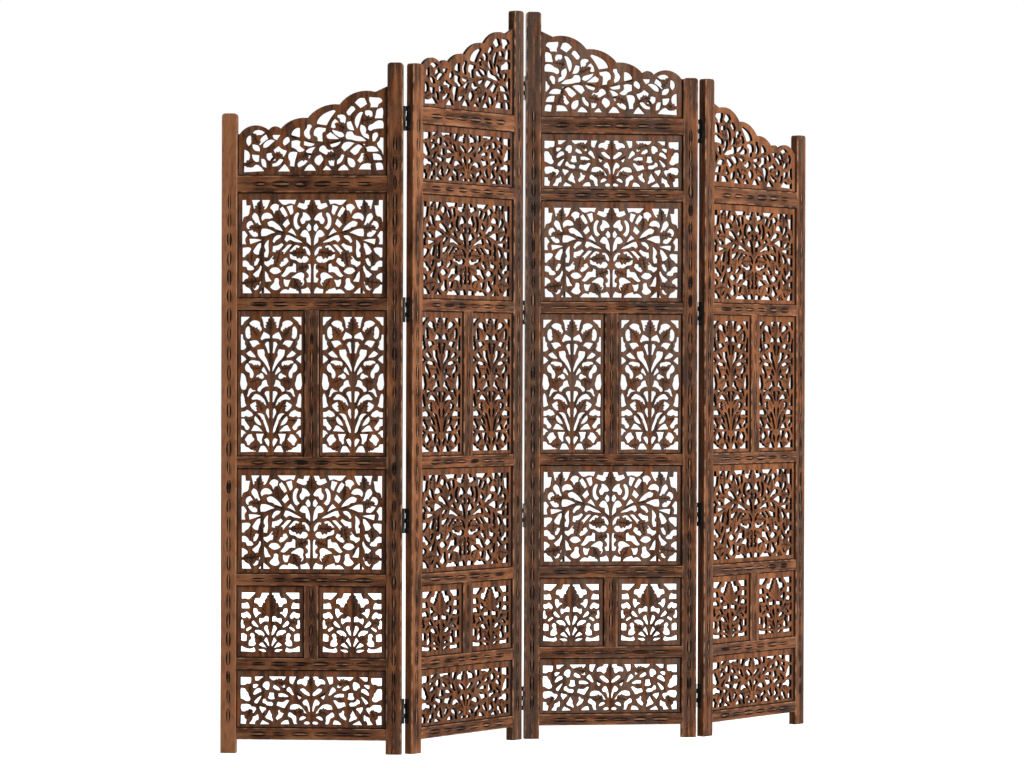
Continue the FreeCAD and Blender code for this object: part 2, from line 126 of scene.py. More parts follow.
def shaped(tree, source, **sizes):
    """The mesh that a shaping tree makes of a source mesh or curve."""
    thing = stand("shaping", source)
    work = thing.modifiers.new("shape", "NODES")
    work.node_group = tree
    for socket in tree.interface.items_tree:
        if socket.in_out == "INPUT" and socket.name.lower() in sizes:
            work[socket.identifier] = sizes[socket.name.lower()]
    thing.update_tag()
    return made_plain(thing)


def number_of(tree, name):
    return out(wire(tree, "GeometryNodeInputNamedAttribute", name, data_type="FLOAT"))


def uneven(tree, low, high, number, seed, later=0):
    """A number between low and high for each thing that is counted."""
    own_seed = calc(tree, "ADD", seed, later)
    return out(wire(tree, "FunctionNodeRandomValue", low, high, number, own_seed, data_type="FLOAT"))


# The gouge row: each mark is a pair of strokes that meet at both ends, no two alike, sunk into the bar's two faces
mark_facts = ("mark_number", "mark_row", "mark_column", "mark_stroke", "mark_face")
stroke_lengths, stroke_breadths, stroke_presses = (0.78, 1.08), (0.72, 1.18), (0.7, 1.2)
stroke_slip, ridges, least_half_breadth = 0.0026, (1.2, 8.0), 0.00015
glaze_in_hollow, glaze_round_mark = 0.85, 0.18
gouge_row, given, end = new_tree(
    "gouge_row", "GeometryNodeTree",
    dict(Bar="Geometry", Start="Float", Pitch="Float", Length="Float", Breadth="Float", Depth="Float", Seed="Int",
         Stain="Material"), dict(Bar="Geometry"))
t, seed = gouge_row, given["Seed"]
number, row, column, stroke, face = (number_of(t, fact) for fact in mark_facts)
stroke_side = calc(t, "MULTIPLY_ADD", number, 2, calc(t, "GREATER_THAN", product(t, column, face), 0))
press = uneven(t, *stroke_presses, stroke_side, seed, 31)
stagger = uneven(t, -stroke_slip, stroke_slip, number, seed, 53)
ridge = uneven(t, *ridges, number, seed, 71)
boat = calc(t, "SQRT", calc(t, "MAXIMUM", calc(t, "SUBTRACT", 1, product(t, row, row)), 0))
reach = product(t, given["Length"], 0.5, uneven(t, *stroke_lengths, number, seed), row)
centre = calc(t, "MULTIPLY_ADD", calc(t, "ADD", number, 0.5), given["Pitch"], given["Start"])
half = product(t, given["Breadth"], 0.5, uneven(t, *stroke_breadths, number, seed, 17), boat)
across = product(t, column, calc(t, "MAXIMUM", half, least_half_breadth))
hollow = product(t, boat, calc(t, "POWER", stroke, ridge), press)
sunk = product(t, hollow, given["Depth"], face)
in_row = calc(t, "GREATER_THAN", number, -0.5)
on_face = product(t, in_row, calc(t, "ABSOLUTE", face))
x, y, z = wire(t, "ShaderNodeSeparateXYZ", out(wire(t, "GeometryNodeInputPosition"))).outputs
ring_place = out(wire(t, "ShaderNodeCombineXYZ", x, y, calc(t, "ADD", centre, reach)))
bar = out(wire(t, "GeometryNodeSetPosition", given["Bar"], in_row, ring_place))
staggered = calc(t, "MULTIPLY_ADD", product(t, column, boat), stagger, z)
mark_place = out(wire(t, "ShaderNodeCombineXYZ", across, calc(t, "ADD", y, sunk), staggered))
bar = out(wire(t, "GeometryNodeSetPosition", bar, on_face, mark_place))
glazed = product(t, calc(t, "MULTIPLY_ADD", hollow, glaze_in_hollow, glaze_round_mark), on_face)
bar = out(wire(t, "GeometryNodeStoreNamedAttribute", bar, True, "mark", glazed, data_type="FLOAT", domain="POINT"))
close_tree(t, bar, given["Stain"], end)


def hold(mesh, **values):
    """Keeps named numbers or places on a mesh's points for the shaping trees and the stain."""
    for name, numbers in values.items():
        numbers = np.asarray(numbers, dtype=np.float32)
        sort, key = ("FLOAT_VECTOR", "vector") if numbers.ndim == 2 else ("FLOAT", "value")
        if name in mesh.attributes:
            mesh.attributes.remove(mesh.attributes[name])
        mesh.attributes.new(name, sort, "POINT").data.foreach_set(key, numbers.ravel())


def read_all(things, key, size=1, kind=np.float32):
    """One fact of every point, corner or face."""
    numbers = np.zeros(len(things) * size, dtype=kind)
    things.foreach_get(key, numbers)
    return numbers.reshape(-1, size) if size > 1 else numbers


def points_of(mesh):
    return read_all(mesh.vertices, "co", 3)


def new_mesh(name, points, faces, **held):
    mesh = bpy.data.meshes.new(name)
    mesh.from_pydata(points, [], faces)
    hold(mesh, **held)
    return mesh


def skin(rings, around):
    """The faces of a tube of rings of points, one above the other, with a flat cap at both ends."""
    faces = [tuple(range(around - 1, -1, -1))]
    for low in range(0, (rings - 1) * around, around):
        for here in range(around):
            there = (here + 1) % around
            faces.append((low + here, low + there, low + around + there, low + around + here))
    return faces + [tuple(range((rings - 1) * around, rings * around))]


mark_rows = (-1, -0.8, -0.42, 0, 0.42, 0.8, 1)
mark_columns = ((-1, 0), (-0.62, 1), (-0.22, 0.5), (0.22, 0.5), (0.62, 1), (1, 0))
mark_bed, top_steps = 0.004, 6
bar_grain_step = np.array([0.37, 0.0, 1.13])
# How far each point round half a bar is made pale: wear on its eased edges, and painted highlights on the ridges beside
# the strokes
bar_rub_and_highlight = [1.0, 0, 0, 0.97, 0.97, 0, 0, 1, 1, 0, 1]


def gouged_bar(length, width, thickness, ease, start, count, mark, seed, round_top=0.0):
    """A bar on end from z = 0, its front at -y, with count gouge marks from the height start on both faces."""
    side = thickness / 2

    def ring(half):
        front = [(-half + ease, -side, 0, 0, 0)] + [(c * mark_bed, -side, c, deep, 1) for c, deep in mark_columns]
        corner = ((half - ease, -side), (half, -side + ease), (half, 0), (half, side - ease))
        front += [(x, y, 0, 0, 0) for x, y in corner]
        return front + [(-x, -y, -c, deep, -f) for x, y, c, deep, f in front]

    levels = [(0, width / 2, -1, 0)]
    for number in range(count):
        centre = start + (number + 0.5) * mark["pitch"]
        levels += [(centre + r * mark["length"] / 2, width / 2, number, r) for r in mark_rows]
    quarter = [math.pi / 2 * step / top_steps for step in range(top_steps + 1)] if round_top else [math.pi / 2]
    levels += [(length - round_top + round_top * math.sin(angle),
                width / 2 - round_top + round_top * math.cos(angle), -1, 0) for angle in quarter]
    flat = np.array([(x, y, z, n, r, c, deep, f) for z, half, n, r in levels for x, y, c, deep, f in ring(half)])
    # Its edge attribute: wear on the eased edges, painted highlights on the gouge ridges
    bar = new_mesh("bar", flat[:, :3].tolist(), skin(len(levels), 2 * len(bar_rub_and_highlight)),
                   edge=np.tile(bar_rub_and_highlight, 2 * len(levels)), **dict(zip(mark_facts, flat[:, 3:].T)))
    made = shaped(gouge_row, bar, start=start, seed=seed, stain=frame_wood, **mark)
    for fact in mark_facts:
        made.attributes.remove(made.attributes[fact])
    hold(made, grain=points_of(made) + seed * bar_grain_step)
    return made


def joined(name, pieces_in_place):
    """One mesh of several, each moved to its place, that keeps their marks, edges and grain."""
    places, corners, starts, points, loops = [], [], [], 0, 0
    kept = {"mark": [], "edge": [], "grain": []}
    for mesh, where in pieces_in_place:
        matrix = np.array(where)
        places.append(points_of(mesh) @ matrix[:3, :3].T + matrix[:3, 3])
        corners.append(read_all(mesh.loops, "vertex_index", kind=np.int32) + points)
        starts.append(read_all(mesh.polygons, "loop_start", kind=np.int32) + loops)
        for key, lists in kept.items():
            held = mesh.attributes.get(key)
            if key == "grain":
                lists.append(read_all(held.data, "vector", 3) if held else np.zeros((len(mesh.vertices), 3)))
            else:
                lists.append(read_all(held.data, "value") if held else np.zeros(len(mesh.vertices)))
        points, loops = points + len(mesh.vertices), loops + len(mesh.loops)
    made = bpy.data.meshes.new(name)
    made.vertices.add(points)
    made.vertices.foreach_set("co", np.concatenate(places).astype(np.float32).ravel())
    made.loops.add(loops)
    made.loops.foreach_set("vertex_index", np.concatenate(corners))
    starts = np.concatenate(starts)
    made.polygons.add(len(starts))
    made.polygons.foreach_set("loop_start", starts)
    made.update(calc_edges=True)
    hold(made, **{key: np.concatenate(lists) for key, lists in kept.items()})
    return made


finishes = {}


def fit(leaf, node, made, copies, slot, tone=0.0, smooth_angle=32):
    """Joins copies in their places into one piece, which rides on its leaf and takes the place of its solid."""
    mesh, body = joined(node, copies), f"leaf_{leaf}"
    hold(mesh, tone=np.full(len(mesh.vertices), tone))
    mesh.materials.clear()
    mesh.materials.append(finishes[slot])
    mesh.shade_smooth()
    mesh.set_sharp_from_angle(angle=math.radians(smooth_angle))
    piece = stand(f"{node}_{made}", mesh)
    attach(piece, body)
    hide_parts(node)


# Stain groups: wood grain along the bar, the dark glazing left in the gouges together with painted shade in the boards'
# openings, borders and corners, along the stems and in the leaf veins, wear on the arrises together with painted
# highlights on the gouge ridges, and a little dust
def cloud(tree, place, scale, detail, roughness=0.55, warp=0.0):
    return wire(tree, "ShaderNodeTexNoise", place, None, scale, detail, roughness, None, None, warp).outputs["Fac"]


def streaks(tree, place, across, along, detail, roughness=0.55, warp=0.0):
    """Clouds drawn out along the grain: how many to a metre across it and along it."""
    drawn = out(wire(tree, "ShaderNodeMapping", place, None, None, (across, across, along)))
    return cloud(tree, drawn, 1.0, detail, roughness, warp)


def blend_colour(tree, share, first, second):
    """A mix of two colours, each a socket or its red, green and blue."""
    both = [c if isinstance(c, bpy.types.NodeSocket) else (*c, 1) for c in (first, second)]
    return out(wire(tree, "ShaderNodeMix", share, *both, data_type="RGBA"))


def between(tree, number, low, high, to_low=0.0, to_high=1.0):
    return out(wire(tree, "ShaderNodeMapRange", number, low, high, to_low, to_high))


long_grain, given, end = new_tree("long_grain", "ShaderNodeTree", dict(Place="Vector"),
                                  dict(Figure="Float", Pores="Float"))
t, place = long_grain, given["Place"]
broad_share, streak_share, speck_share = 0.5, 0.22, 0.28
figure = product(t, streaks(t, place, across=430, along=110, detail=2), speck_share)
streak = streaks(t, place, across=170, along=9, detail=4, roughness=0.65)
figure = calc(t, "MULTIPLY_ADD", streak, streak_share, figure)
broad = streaks(t, place, across=46, along=3.2, detail=4, roughness=0.6, warp=0.5)
t.links.new(calc(t, "MULTIPLY_ADD", broad, broad_share, figure), end["Figure"])
pore = streaks(t, place, across=900, along=26, detail=2)
t.links.new(between(t, pore, 0.56, 0.7), end["Pores"])

# Darkening wherever the mark attribute says: real glazing in the gouges, and painted shade on the boards' walls and
# borders, in their corners and along stems and leaf veins
glaze_and_painted_shade, given, end = new_tree("glaze_and_painted_shade", "ShaderNodeTree", dict(Place="Vector", Mark="Float"),
                                 dict(Glaze_and_shade="Float", Smudge_and_shade="Float"))
t, place = glaze_and_painted_shade, given["Place"]
fine_patch = streaks(t, place, across=210, along=150, detail=4, roughness=0.65)
broad_patch = streaks(t, place, across=34, along=11, detail=5, roughness=0.68)
for layer, patch, waver, thin, full in (("Glaze_and_shade", fine_patch, 0.42, 0.3, 0.52),
                                        ("Smudge_and_shade", broad_patch, 1.1, 0.08, 0.7)):
    soft = calc(t, "MULTIPLY_ADD", calc(t, "SUBTRACT", patch, 0.5), waver, given["Mark"])
    t.links.new(between(t, soft, thin, full), end[layer])

# Paler along the edge attribute: wear on edges and, on the bars' gouge ridges, painted highlights; pale flecks besides
wear_and_painted_highlight, given, end = new_tree("wear_and_painted_highlight", "ShaderNodeTree",
                                   dict(Place="Vector", Edge="Float", Amount="Float"), dict(Wear_and_highlight="Float"))
t, place = wear_and_painted_highlight, given["Place"]
edge_sharpness, most_fleck = 9, 0.3
patch = between(t, streaks(t, place, across=60, along=22, detail=4), 0.42, 0.66)
flecks = between(t, streaks(t, place, across=330, along=150, detail=2), 0.62, 0.7, 0.0, most_fleck)
on_edge = calc(t, "POWER", given["Edge"], edge_sharpness)
paled = calc(t, "MAXIMUM", product(t, on_edge, patch), flecks)
t.links.new(product(t, paled, given["Amount"]), end["Wear_and_highlight"])

settled_dust, given, end = new_tree("settled_dust", "ShaderNodeTree", dict(Place="Vector", Amount="Float"),
                                    dict(Dust="Float"))
t = settled_dust
upward = out(wire(t, "ShaderNodeSeparateXYZ", out(wire(t, "ShaderNodeNewGeometry"), "Normal")), "Z")
too_steep, level_enough, least_dust = 0.55, 0.95, 0.35
patch = between(t, cloud(t, given["Place"], scale=70, detail=4), 0.35, 0.65, least_dust, 1.0)
lying = between(t, upward, too_steep, level_enough)
t.links.new(product(t, lying, patch, given["Amount"]), end["Dust"])


def placed_group(tree, inner, *values):
    return wire(tree, "ShaderNodeGroup", *values, node_tree=inner).outputs


def held_on(tree, name, sort="Fac"):
    return out(wire(tree, "ShaderNodeAttribute", attribute_name=name), sort)


def new_finish(name):
    finish = finishes[name] = bpy.data.materials.new(name)
    finish.use_nodes = True
    return finish, finish.node_tree, finish.node_tree.nodes["Principled BSDF"].inputs


# Near-black for pores, gouge glazing and painted shade; a lighter near-black for smudges, which also spread over the
# painted shade
glaze_and_shade_dark, smudge_and_shade_dark = (0.008, 0.005, 0.004), (0.016, 0.010, 0.008)
# A pale tan for wear and for the painted highlights on the gouge ridges
rub_and_highlight_tan, grey_dust = (0.40, 0.21, 0.115), (0.32, 0.29, 0.26)
wood_wear_and_highlight, wood_dust, wood_roughness, wood_sheen = 0.95, 0.25, 0.52, 0.13
deep_figure, mid_figure, pale_figure = 0.38, 0.5, 0.62
tone_waver, most_amber, most_smoke, pore_dark, smudge_and_shade_share = 2.6, 0.75, 0.6, 0.6, 0.72
figure_gloss, glaze_dullness, dust_dullness = -0.12, 0.4, 0.3
pore_sink, grain_strength, grain_depth = -0.7, 0.3, 0.0008


def stained_wood(name, pale, mid, deep, amber, smoke):
    """Walnut-stained hardwood under satin lacquer: grain, dark glazing in the gouges, painted shade in the carving's
    hollows and corners, pale wear on the edges with painted highlights on the gouge ridges, and dust.
    """
    stain, tree, lacquer = new_finish(name)
    grain = held_on(tree, "grain", "Vector")
    body = placed_group(tree, long_grain, grain)
    # The mark attribute brings the gouge glazing and the painted shade of boards, stems and leaves
    dark = placed_group(tree, glaze_and_painted_shade, grain, held_on(tree, "mark"))
    # Wear on the edges, and painted highlights on the gouge ridges
    lightened = placed_group(tree, wear_and_painted_highlight, grain, held_on(tree, "edge"), wood_wear_and_highlight)
    dust = placed_group(tree, settled_dust, grain, wood_dust)
    tone = wire(tree, "ShaderNodeValToRGB", body["Figure"])
    ramp = tone.color_ramp.elements
    ramp[0].position, ramp[0].color = deep_figure, (*deep, 1)
    ramp[1].position, ramp[1].color = pale_figure, (*pale, 1)
    ramp.new(mid_figure).color = (*mid, 1)
    uneven_stain = calc(tree, "SUBTRACT", streaks(tree, grain, across=14, along=5, detail=3), 0.5)
    shift = calc(tree, "MULTIPLY_ADD", uneven_stain, tone_waver, held_on(tree, "tone"))
    colour = out(tone)
    # Over the figure: warm and smoky stain, dark pores, smudges and gouge glazing with painted shade, pale wear with
    # painted highlights, grey dust
    for share, tint in ((between(tree, shift, 0.0, 1.0, 0.0, most_amber), amber),
                        (between(tree, shift, 0.0, -1.0, 0.0, most_smoke), smoke),
                        (product(tree, body["Pores"], pore_dark), glaze_and_shade_dark),
                        (product(tree, dark["Smudge_and_shade"], smudge_and_shade_share), smudge_and_shade_dark),
                        (lightened["Wear_and_highlight"], rub_and_highlight_tan), (dark["Glaze_and_shade"], glaze_and_shade_dark), (dust["Dust"], grey_dust)):
        colour = blend_colour(tree, share, colour, tint)
    tree.links.new(colour, lacquer["Base Color"])
    rough = wood_roughness
    for layer, change in ((body["Figure"], figure_gloss), (dark["Glaze_and_shade"], glaze_dullness),
                          (dust["Dust"], dust_dullness)):
        rough = calc(tree, "MULTIPLY_ADD", layer, change, rough)
    tree.links.new(rough, lacquer["Roughness"])
    relief = calc(tree, "MULTIPLY_ADD", body["Pores"], pore_sink, body["Figure"])
    tree.links.new(out(wire(tree, "ShaderNodeBump", grain_strength, grain_depth, None, relief)), lacquer["Normal"])
    lacquer["Specular IOR Level"].default_value = wood_sheen
    return stain


frame_wood = stained_wood(
    "frame_wood", pale=(0.260, 0.096, 0.038), mid=(0.122, 0.042, 0.016), deep=(0.030, 0.012, 0.007),
    amber=(0.400, 0.165, 0.074), smoke=(0.056, 0.044, 0.036))
# Some posts took the stain warm and light, others went smoky; each has its own plain length above the uppermost mark
post_tones = {1: (1.5, -0.15), 2: (0.4, -1.0), 3: (-0.95, -0.3), 4: (-0.3, -0.45)}
plain_tops = {1: (0.133, 0.139), 2: (0.090, 0.156), 3: (0.180, 0.105), 4: (0.210, 0.100)}
post_sides = (("left", post_width / 2), ("right", leaf_width - post_width / 2))
post_seed = 0
for leaf in leaf_numbers:
    for (side, x), tone, plain_top in zip(post_sides, post_tones[leaf], plain_tops[leaf]):
        node = f"leaf_{leaf}_{side}_post"
        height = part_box(node)[1][2]
        count = int((height - plain_top - post_marks_foot) / post_mark["pitch"])
        post_seed += 1
        bar = gouged_bar(height, post_width, post_thickness, post_ease, post_marks_foot, count, post_mark,
                         post_seed, post_top_radius)
        fit(leaf, node, "gouged", [(bar, leaf_place(leaf, x, 0, 0))], "frame_wood", tone)

# Rails.
# Cross rails tongued into the posts part each leaf into five or six lights; the crest rail is deeper than the rest.
# They are the posts' own wood, set a millimetre back from the posts' faces, with six long gouge marks each.
opening_width = leaf_width - 2 * post_width
rail_thickness, rail_height, crest_rail_height, rail_ease = 0.018, 0.025, 0.036, 0.0012
bottom_rail_foot = 0.030
cross_rail_feet = (0.183, 0.366, 0.622, 0.967)
inner_extra_rail_foot, outer_crest_rail_foot, inner_crest_rail_foot = 1.223, 1.223, 1.376
rail_mark = dict(pitch=0.046, length=0.042, breadth=0.0115, depth=0.0012)
crest_mark = dict(pitch=0.046, length=0.042, breadth=0.0140, depth=0.0013)
rail_marks = 6
rail_tones = {1: 0.1, 2: 0.0, 3: -0.3, 4: -0.15}
rail_seed = 40


def laid(leaf, level):
    """A bar on end laid across the leaf's opening at a height, its front still to the front."""
    return leaf_place(leaf, post_width, 0, level) @ Matrix.Rotation(math.radians(90), 4, "Y")


for leaf in leaf_numbers:
    inner = leaf in inner_leaves
    feet = cross_rail_feet + ((inner_extra_rail_foot,) if inner else ())
    crest_foot = inner_crest_rail_foot if inner else outer_crest_rail_foot
    groups = {"bottom_rail": ([bottom_rail_foot], rail_height, rail_mark),
              "cross_rails": (feet, rail_height, rail_mark),
              "crest_rail": ([crest_foot], crest_rail_height, crest_mark)}
    for part, (levels, height, mark) in groups.items():
        bars = []
        for level in levels:
            rail_seed += 1
            plain_end = (opening_width - rail_marks * mark["pitch"]) / 2
            bar = gouged_bar(opening_width, height, rail_thickness, rail_ease, plain_end, rail_marks, mark,
                             rail_seed)
            bars.append((bar, laid(leaf, level + height / 2)))
        fit(leaf, f"leaf_{leaf}_{part}", "gouged", bars, "frame_wood", rail_tones[leaf])

# Mullions.
# A short upright between each pair of boards, tenoned into the rails above and below, in the same stained wood.
# The tall one parts the tall boards and the short one the square boards; both carry the gouge row.
mullion_width, mullion_ease = 0.031, 0.0012
mullion_runs = ((0.208, 0.366, 4), (0.647, 0.967, 8))
mullion_mark = dict(pitch=0.0385, length=0.035, breadth=0.0092, depth=0.0011)
mullion_tones = {1: -0.5, 2: -0.3, 3: -0.4, 4: 0.0}
mullion_seed = 80
for leaf in leaf_numbers:
    bars = []
    for foot, top, count in mullion_runs:
        mullion_seed += 1
        start = (top - foot - count * mullion_mark["pitch"]) / 2
        bar = gouged_bar(top - foot, mullion_width, rail_thickness, mullion_ease, start, count, mullion_mark,
                         mullion_seed)
        bars.append((bar, leaf_place(leaf, leaf_width / 2, 0, foot)))
    fit(leaf, f"leaf_{leaf}_mullions", "gouged", bars, "frame_wood", mullion_tones[leaf])

# Tree boards.
# A thin hardwood board above and below the middle of each leaf, sawn through with a spreading tree, carved on both
# faces and housed in grooves of the posts and rails. Each line is one opening of the right half, as places across and
# up in percent; the left half mirrors it. A line that ends in a comma goes on in the next one.
fret_thickness, fret_tuck = 0.008, 0.0015
half_thick, rim_depth, housed_rim = fret_thickness / 2, 0.0006, 0.004
saw_corner = math.radians(62)
# How dark the board is painted where it is housed (painted shade along the frame), on its sawn walls (char with painted
# shade in the openings) and on its face (the glazing it took)
housed_painted_shade, wall_char_and_shade, face_glaze = 0.24, 0.85, 0.06
# The arris beside a saw cut, darkening towards the sawn wall with char and painted shade, and the kerf the saw took
# past its line: wide, and close
wide_cut, close_cut = dict(arris=0.0006, kerf=0.0007), dict(arris=0.0011, kerf=0.0002)
tree_height = 0.231
tree_feet = {"lower_tree_fret": 0.391, "upper_tree_fret": 0.992}
tree_openings = """
3 92.5, 9.5 92.5, 11 89, 18 90, 20 87, 14 85, 9 84.5, 6 87
22 92.8, 45 92.8, 38 88.5, 30 90, 24 89
27 88, 34 86.5, 31 82, 29 79, 26 81, 26.5 85
33.5 78.5, 36 82.5, 40 86.5, 43.5 84.5, 40 80, 36.5 77
45 87.5, 49 89, 54 88, 56.5 85.5, 53 83, 51.5 80, 49 83, 46 83.5
53 76.5, 56 79.5, 63 80.5, 68 77, 67 73.5, 63 75.5, 57 75.5
57 92.6, 67 92.6, 66 87, 64.5 83.5, 61 86, 58.5 90
70.5 92.6, 80.5 92.6, 79 88, 78 84.5, 74.5 87, 72 90
89 92.6, 93.5 92.6, 93.5 73, 91.5 77, 86 78.5, 84 84, 83 87.5, 88.5 87.5
18 80, 20 81, 23 79, 25 74, 23 67, 20 65, 16.5 67, 20 70, 20.5 75
2.5 75, 4 77, 8 80, 12.5 81, 13 77.5, 16 74, 14 70.5, 11 71, 9 73.5, 4 74
30.5 70.5, 33 75, 36 73, 39.5 70, 36 67
39 62.5, 43 67, 50 71.5, 55 73, 60 71.5, 58 68.5, 52 67.5, 46 63.5
68.5 69, 71 73, 74 79, 78 80.5, 80.5 77, 77 73, 73 68.5
79 70, 82 73, 86 72, 88 68, 86 65.5, 83 66.5, 81 68.5
2 65, 2.2 68, 5 70.5, 8 67, 5 63.5
22 59.5, 25 63.5, 28 66, 32 63, 27 61.5
5 61, 8 64, 12 64, 16 60, 13 58.5, 8 58, 7 53, 4.5 50, 2.2 50.5, 2.8 56
50 62, 55 64, 62 65.5, 67.5 65.5, 68.5 62, 68 59, 60 59.5, 54 61
73 59, 74 62, 80 64, 85 63.5, 82 60.5, 78 58.5
87 59.5, 91 63.5, 93.5 63, 93.5 51.5, 89 51.5, 90 56
14.5 53, 20 56, 27 59, 35 59.5, 37 55.5, 34 53.5, 30 55.5, 24 54
42 59, 46 59.5, 50 58, 53 54, 51 52.5, 48.5 55, 44 57
69 55, 75 55.8, 84 56, 83 51.5, 77 53
58.5 55, 61 53.5, 64 49, 62 45, 65 42, 65 39.5, 60 39, 58.5 44, 59 50
67 51.5, 70 52, 75 49, 79 44.5, 77 42.5, 72 41.5, 70.5 46
82 46.5, 83 47.5, 93 47.5, 93 39.5, 91 39, 88 41.5, 85 43
3 42, 5 46, 9 48.5, 12.5 48.5, 11 45, 7 42.5, 3.8 40.5
17 49, 22 50, 27 47, 30 44.5, 25 44.5, 20 46.5
28 50.5, 32 50.5, 37 47, 41 44.5, 38 42, 35 45, 31 48
39 50.5, 41 52, 46 50, 52.5 49, 53 44.5, 49 44, 44 46.5
5 37, 7 39, 12 40.5, 20 40.5, 30 41.5, 29 38, 22 36.5, 18 34.5, 8 34.5
32 35, 34 38, 37 37.5, 41 34.5, 44 32, 42 30, 37 31.5
50 39, 52 40.5, 55 38, 59 35, 65 34.5, 63 32, 59 30, 56 32, 52 33
71 37, 74 38, 77 35, 77.5 31, 75 31.5, 72.5 34
78 28, 80 30, 83 31, 86 34, 90 35.5, 93 35, 93 30.5, 88 30, 86.5 27, 80 27
22 25, 22 32, 25 33, 27 30, 33 29.5, 37 25, 41 21.5, 38 20.5, 33 22.5, 29 25
42 25.5, 46 28.5, 50 29, 55 28, 57 26, 52 23.5, 47 23.5
55 16.5, 58 19.5, 60 23, 63 25.5, 63 20, 62 16
68 29.5, 69 31, 72 27, 77 24, 80 21.5, 79 18, 75 17, 72 19, 71.5 22
84 19.5, 87 22, 90 23.5, 93 24, 93 16, 89 16.5, 88 19
2.4 15.5, 2.4 31, 3.5 32.5, 5.5 32, 6.5 27, 8 25.5, 5 23, 4.8 20, 8 18.5, 6.5 15.5
11 22, 13 24, 18 24, 22 22.5, 27 20, 24 18.5, 18 19, 16.5 16, 16.5 13, 13.5 12, 11 15, 12 18
29.5 17.5, 33 17, 38 18, 38 15, 36 11.5, 32.5 11.5, 31.5 14
45 18, 47 19, 50 18.5, 51 15, 55 12, 56 10.5, 52 8.5, 46 8.5, 43 10.5, 45 14
69 15.5, 71 16, 76 13, 79 10, 77 8, 73 9, 71 12
81 5.2, 92.5 5.2, 93 12.5, 91 13, 88 10.5, 84 9
56 5.2, 70 5.2, 67 8, 64.5 10.5, 60 8
18 5.2, 43 5.2, 40 7.5, 36 8.5, 32 7.5, 30 10, 26 9, 20 7.5
2.5 5.2, 14 5.2, 14.5 8.5, 10 9, 6 10.5, 3.5 8
"""
tree_leaves = """
0 79.5, 0 92.5
71 79, 70 91.5
43 70.5, 45.5 82.5
68 66.5, 84 67
8 43.5, 28 42.5
43 45.5, 48 31
80 42.5, 82 32
5 31, 21 27
16 8, 25 19
70 16.5, 92 14.5
"""
tree_stems = """
0 5, 0 30, 0 60, 0 80
0 47, 10 53, 20 57, 30 60.5, 38 62, 50 64.5, 60 67.5, 68 69
38 62, 50 61, 58 59, 65 56, 67 50, 66 42, 66 33, 66 20, 66 5
"""


def read_rows(text, half_width, height, middle=0.0):
    """Rows of places in percent, made metres about the board's own foot and middle."""
    rows = [[p.split() for p in line.split(",")] for line in text.strip().replace(",\n", ", ").splitlines()]
    return [[(middle + float(u) / 100 * half_width, float(v) / 100 * height) for u, v in row] for row in rows]


def both_halves(rows):
    """The rows and their mirror images; a row on the middle line is kept once."""
    return rows + [[(-u, v) for u, v in row] for row in rows if max(abs(u) for u, v in row) > 1e-6]


def pierced_board(outline, openings, arris, kerf):
    """A sawn board: its outline and openings as one flat curve, thickened, with a small arris on every edge."""
    sheet = bpy.data.curves.new("board", "CURVE")
    sheet.dimensions, sheet.fill_mode, sheet.resolution_u = "2D", "BOTH", 3
    sheet.extrude, sheet.bevel_depth, sheet.bevel_resolution = half_thick - arris, arris, 0
    sheet.offset = -arris - kerf
    for number, row in enumerate([outline] + openings):
        line = sheet.splines.new("BEZIER")
        line.bezier_points.add(len(row) - 1)
        line.use_cyclic_u = True
        for i, (point, (u, v)) in enumerate(zip(line.bezier_points, row)):
            point.co = (u, v, 0)
            before, here, after = Vector(row[i - 1]), Vector((u, v)), Vector(row[(i + 1) % len(row)])
            curved = number > 0 and (here - before).angle(after - here, 0.0) < saw_corner
            point.handle_left_type = point.handle_right_type = "AUTO" if curved else "VECTOR"
    mesh = made_plain(stand("board", sheet))
    places = points_of(mesh)
    wall = np.abs(places[:, 2]) < half_thick - arris * 0.5
    low, high = np.min(outline, axis=0), np.max(outline, axis=0)
    housed = np.any((places[:, :2] < low + housed_rim) | (places[:, :2] > high - housed_rim), axis=1)
    # Painted shade on the border by the frame; char and painted shade on the sawn walls; a little glazing on the face
    hold(mesh, mark=np.where(housed, housed_painted_shade, np.where(wall, wall_char_and_shade, face_glaze)))
    places[wall, 2] = np.sign(places[wall, 2]) * (half_thick - rim_depth)
    mesh.vertices.foreach_set("co", places.ravel())
    return mesh


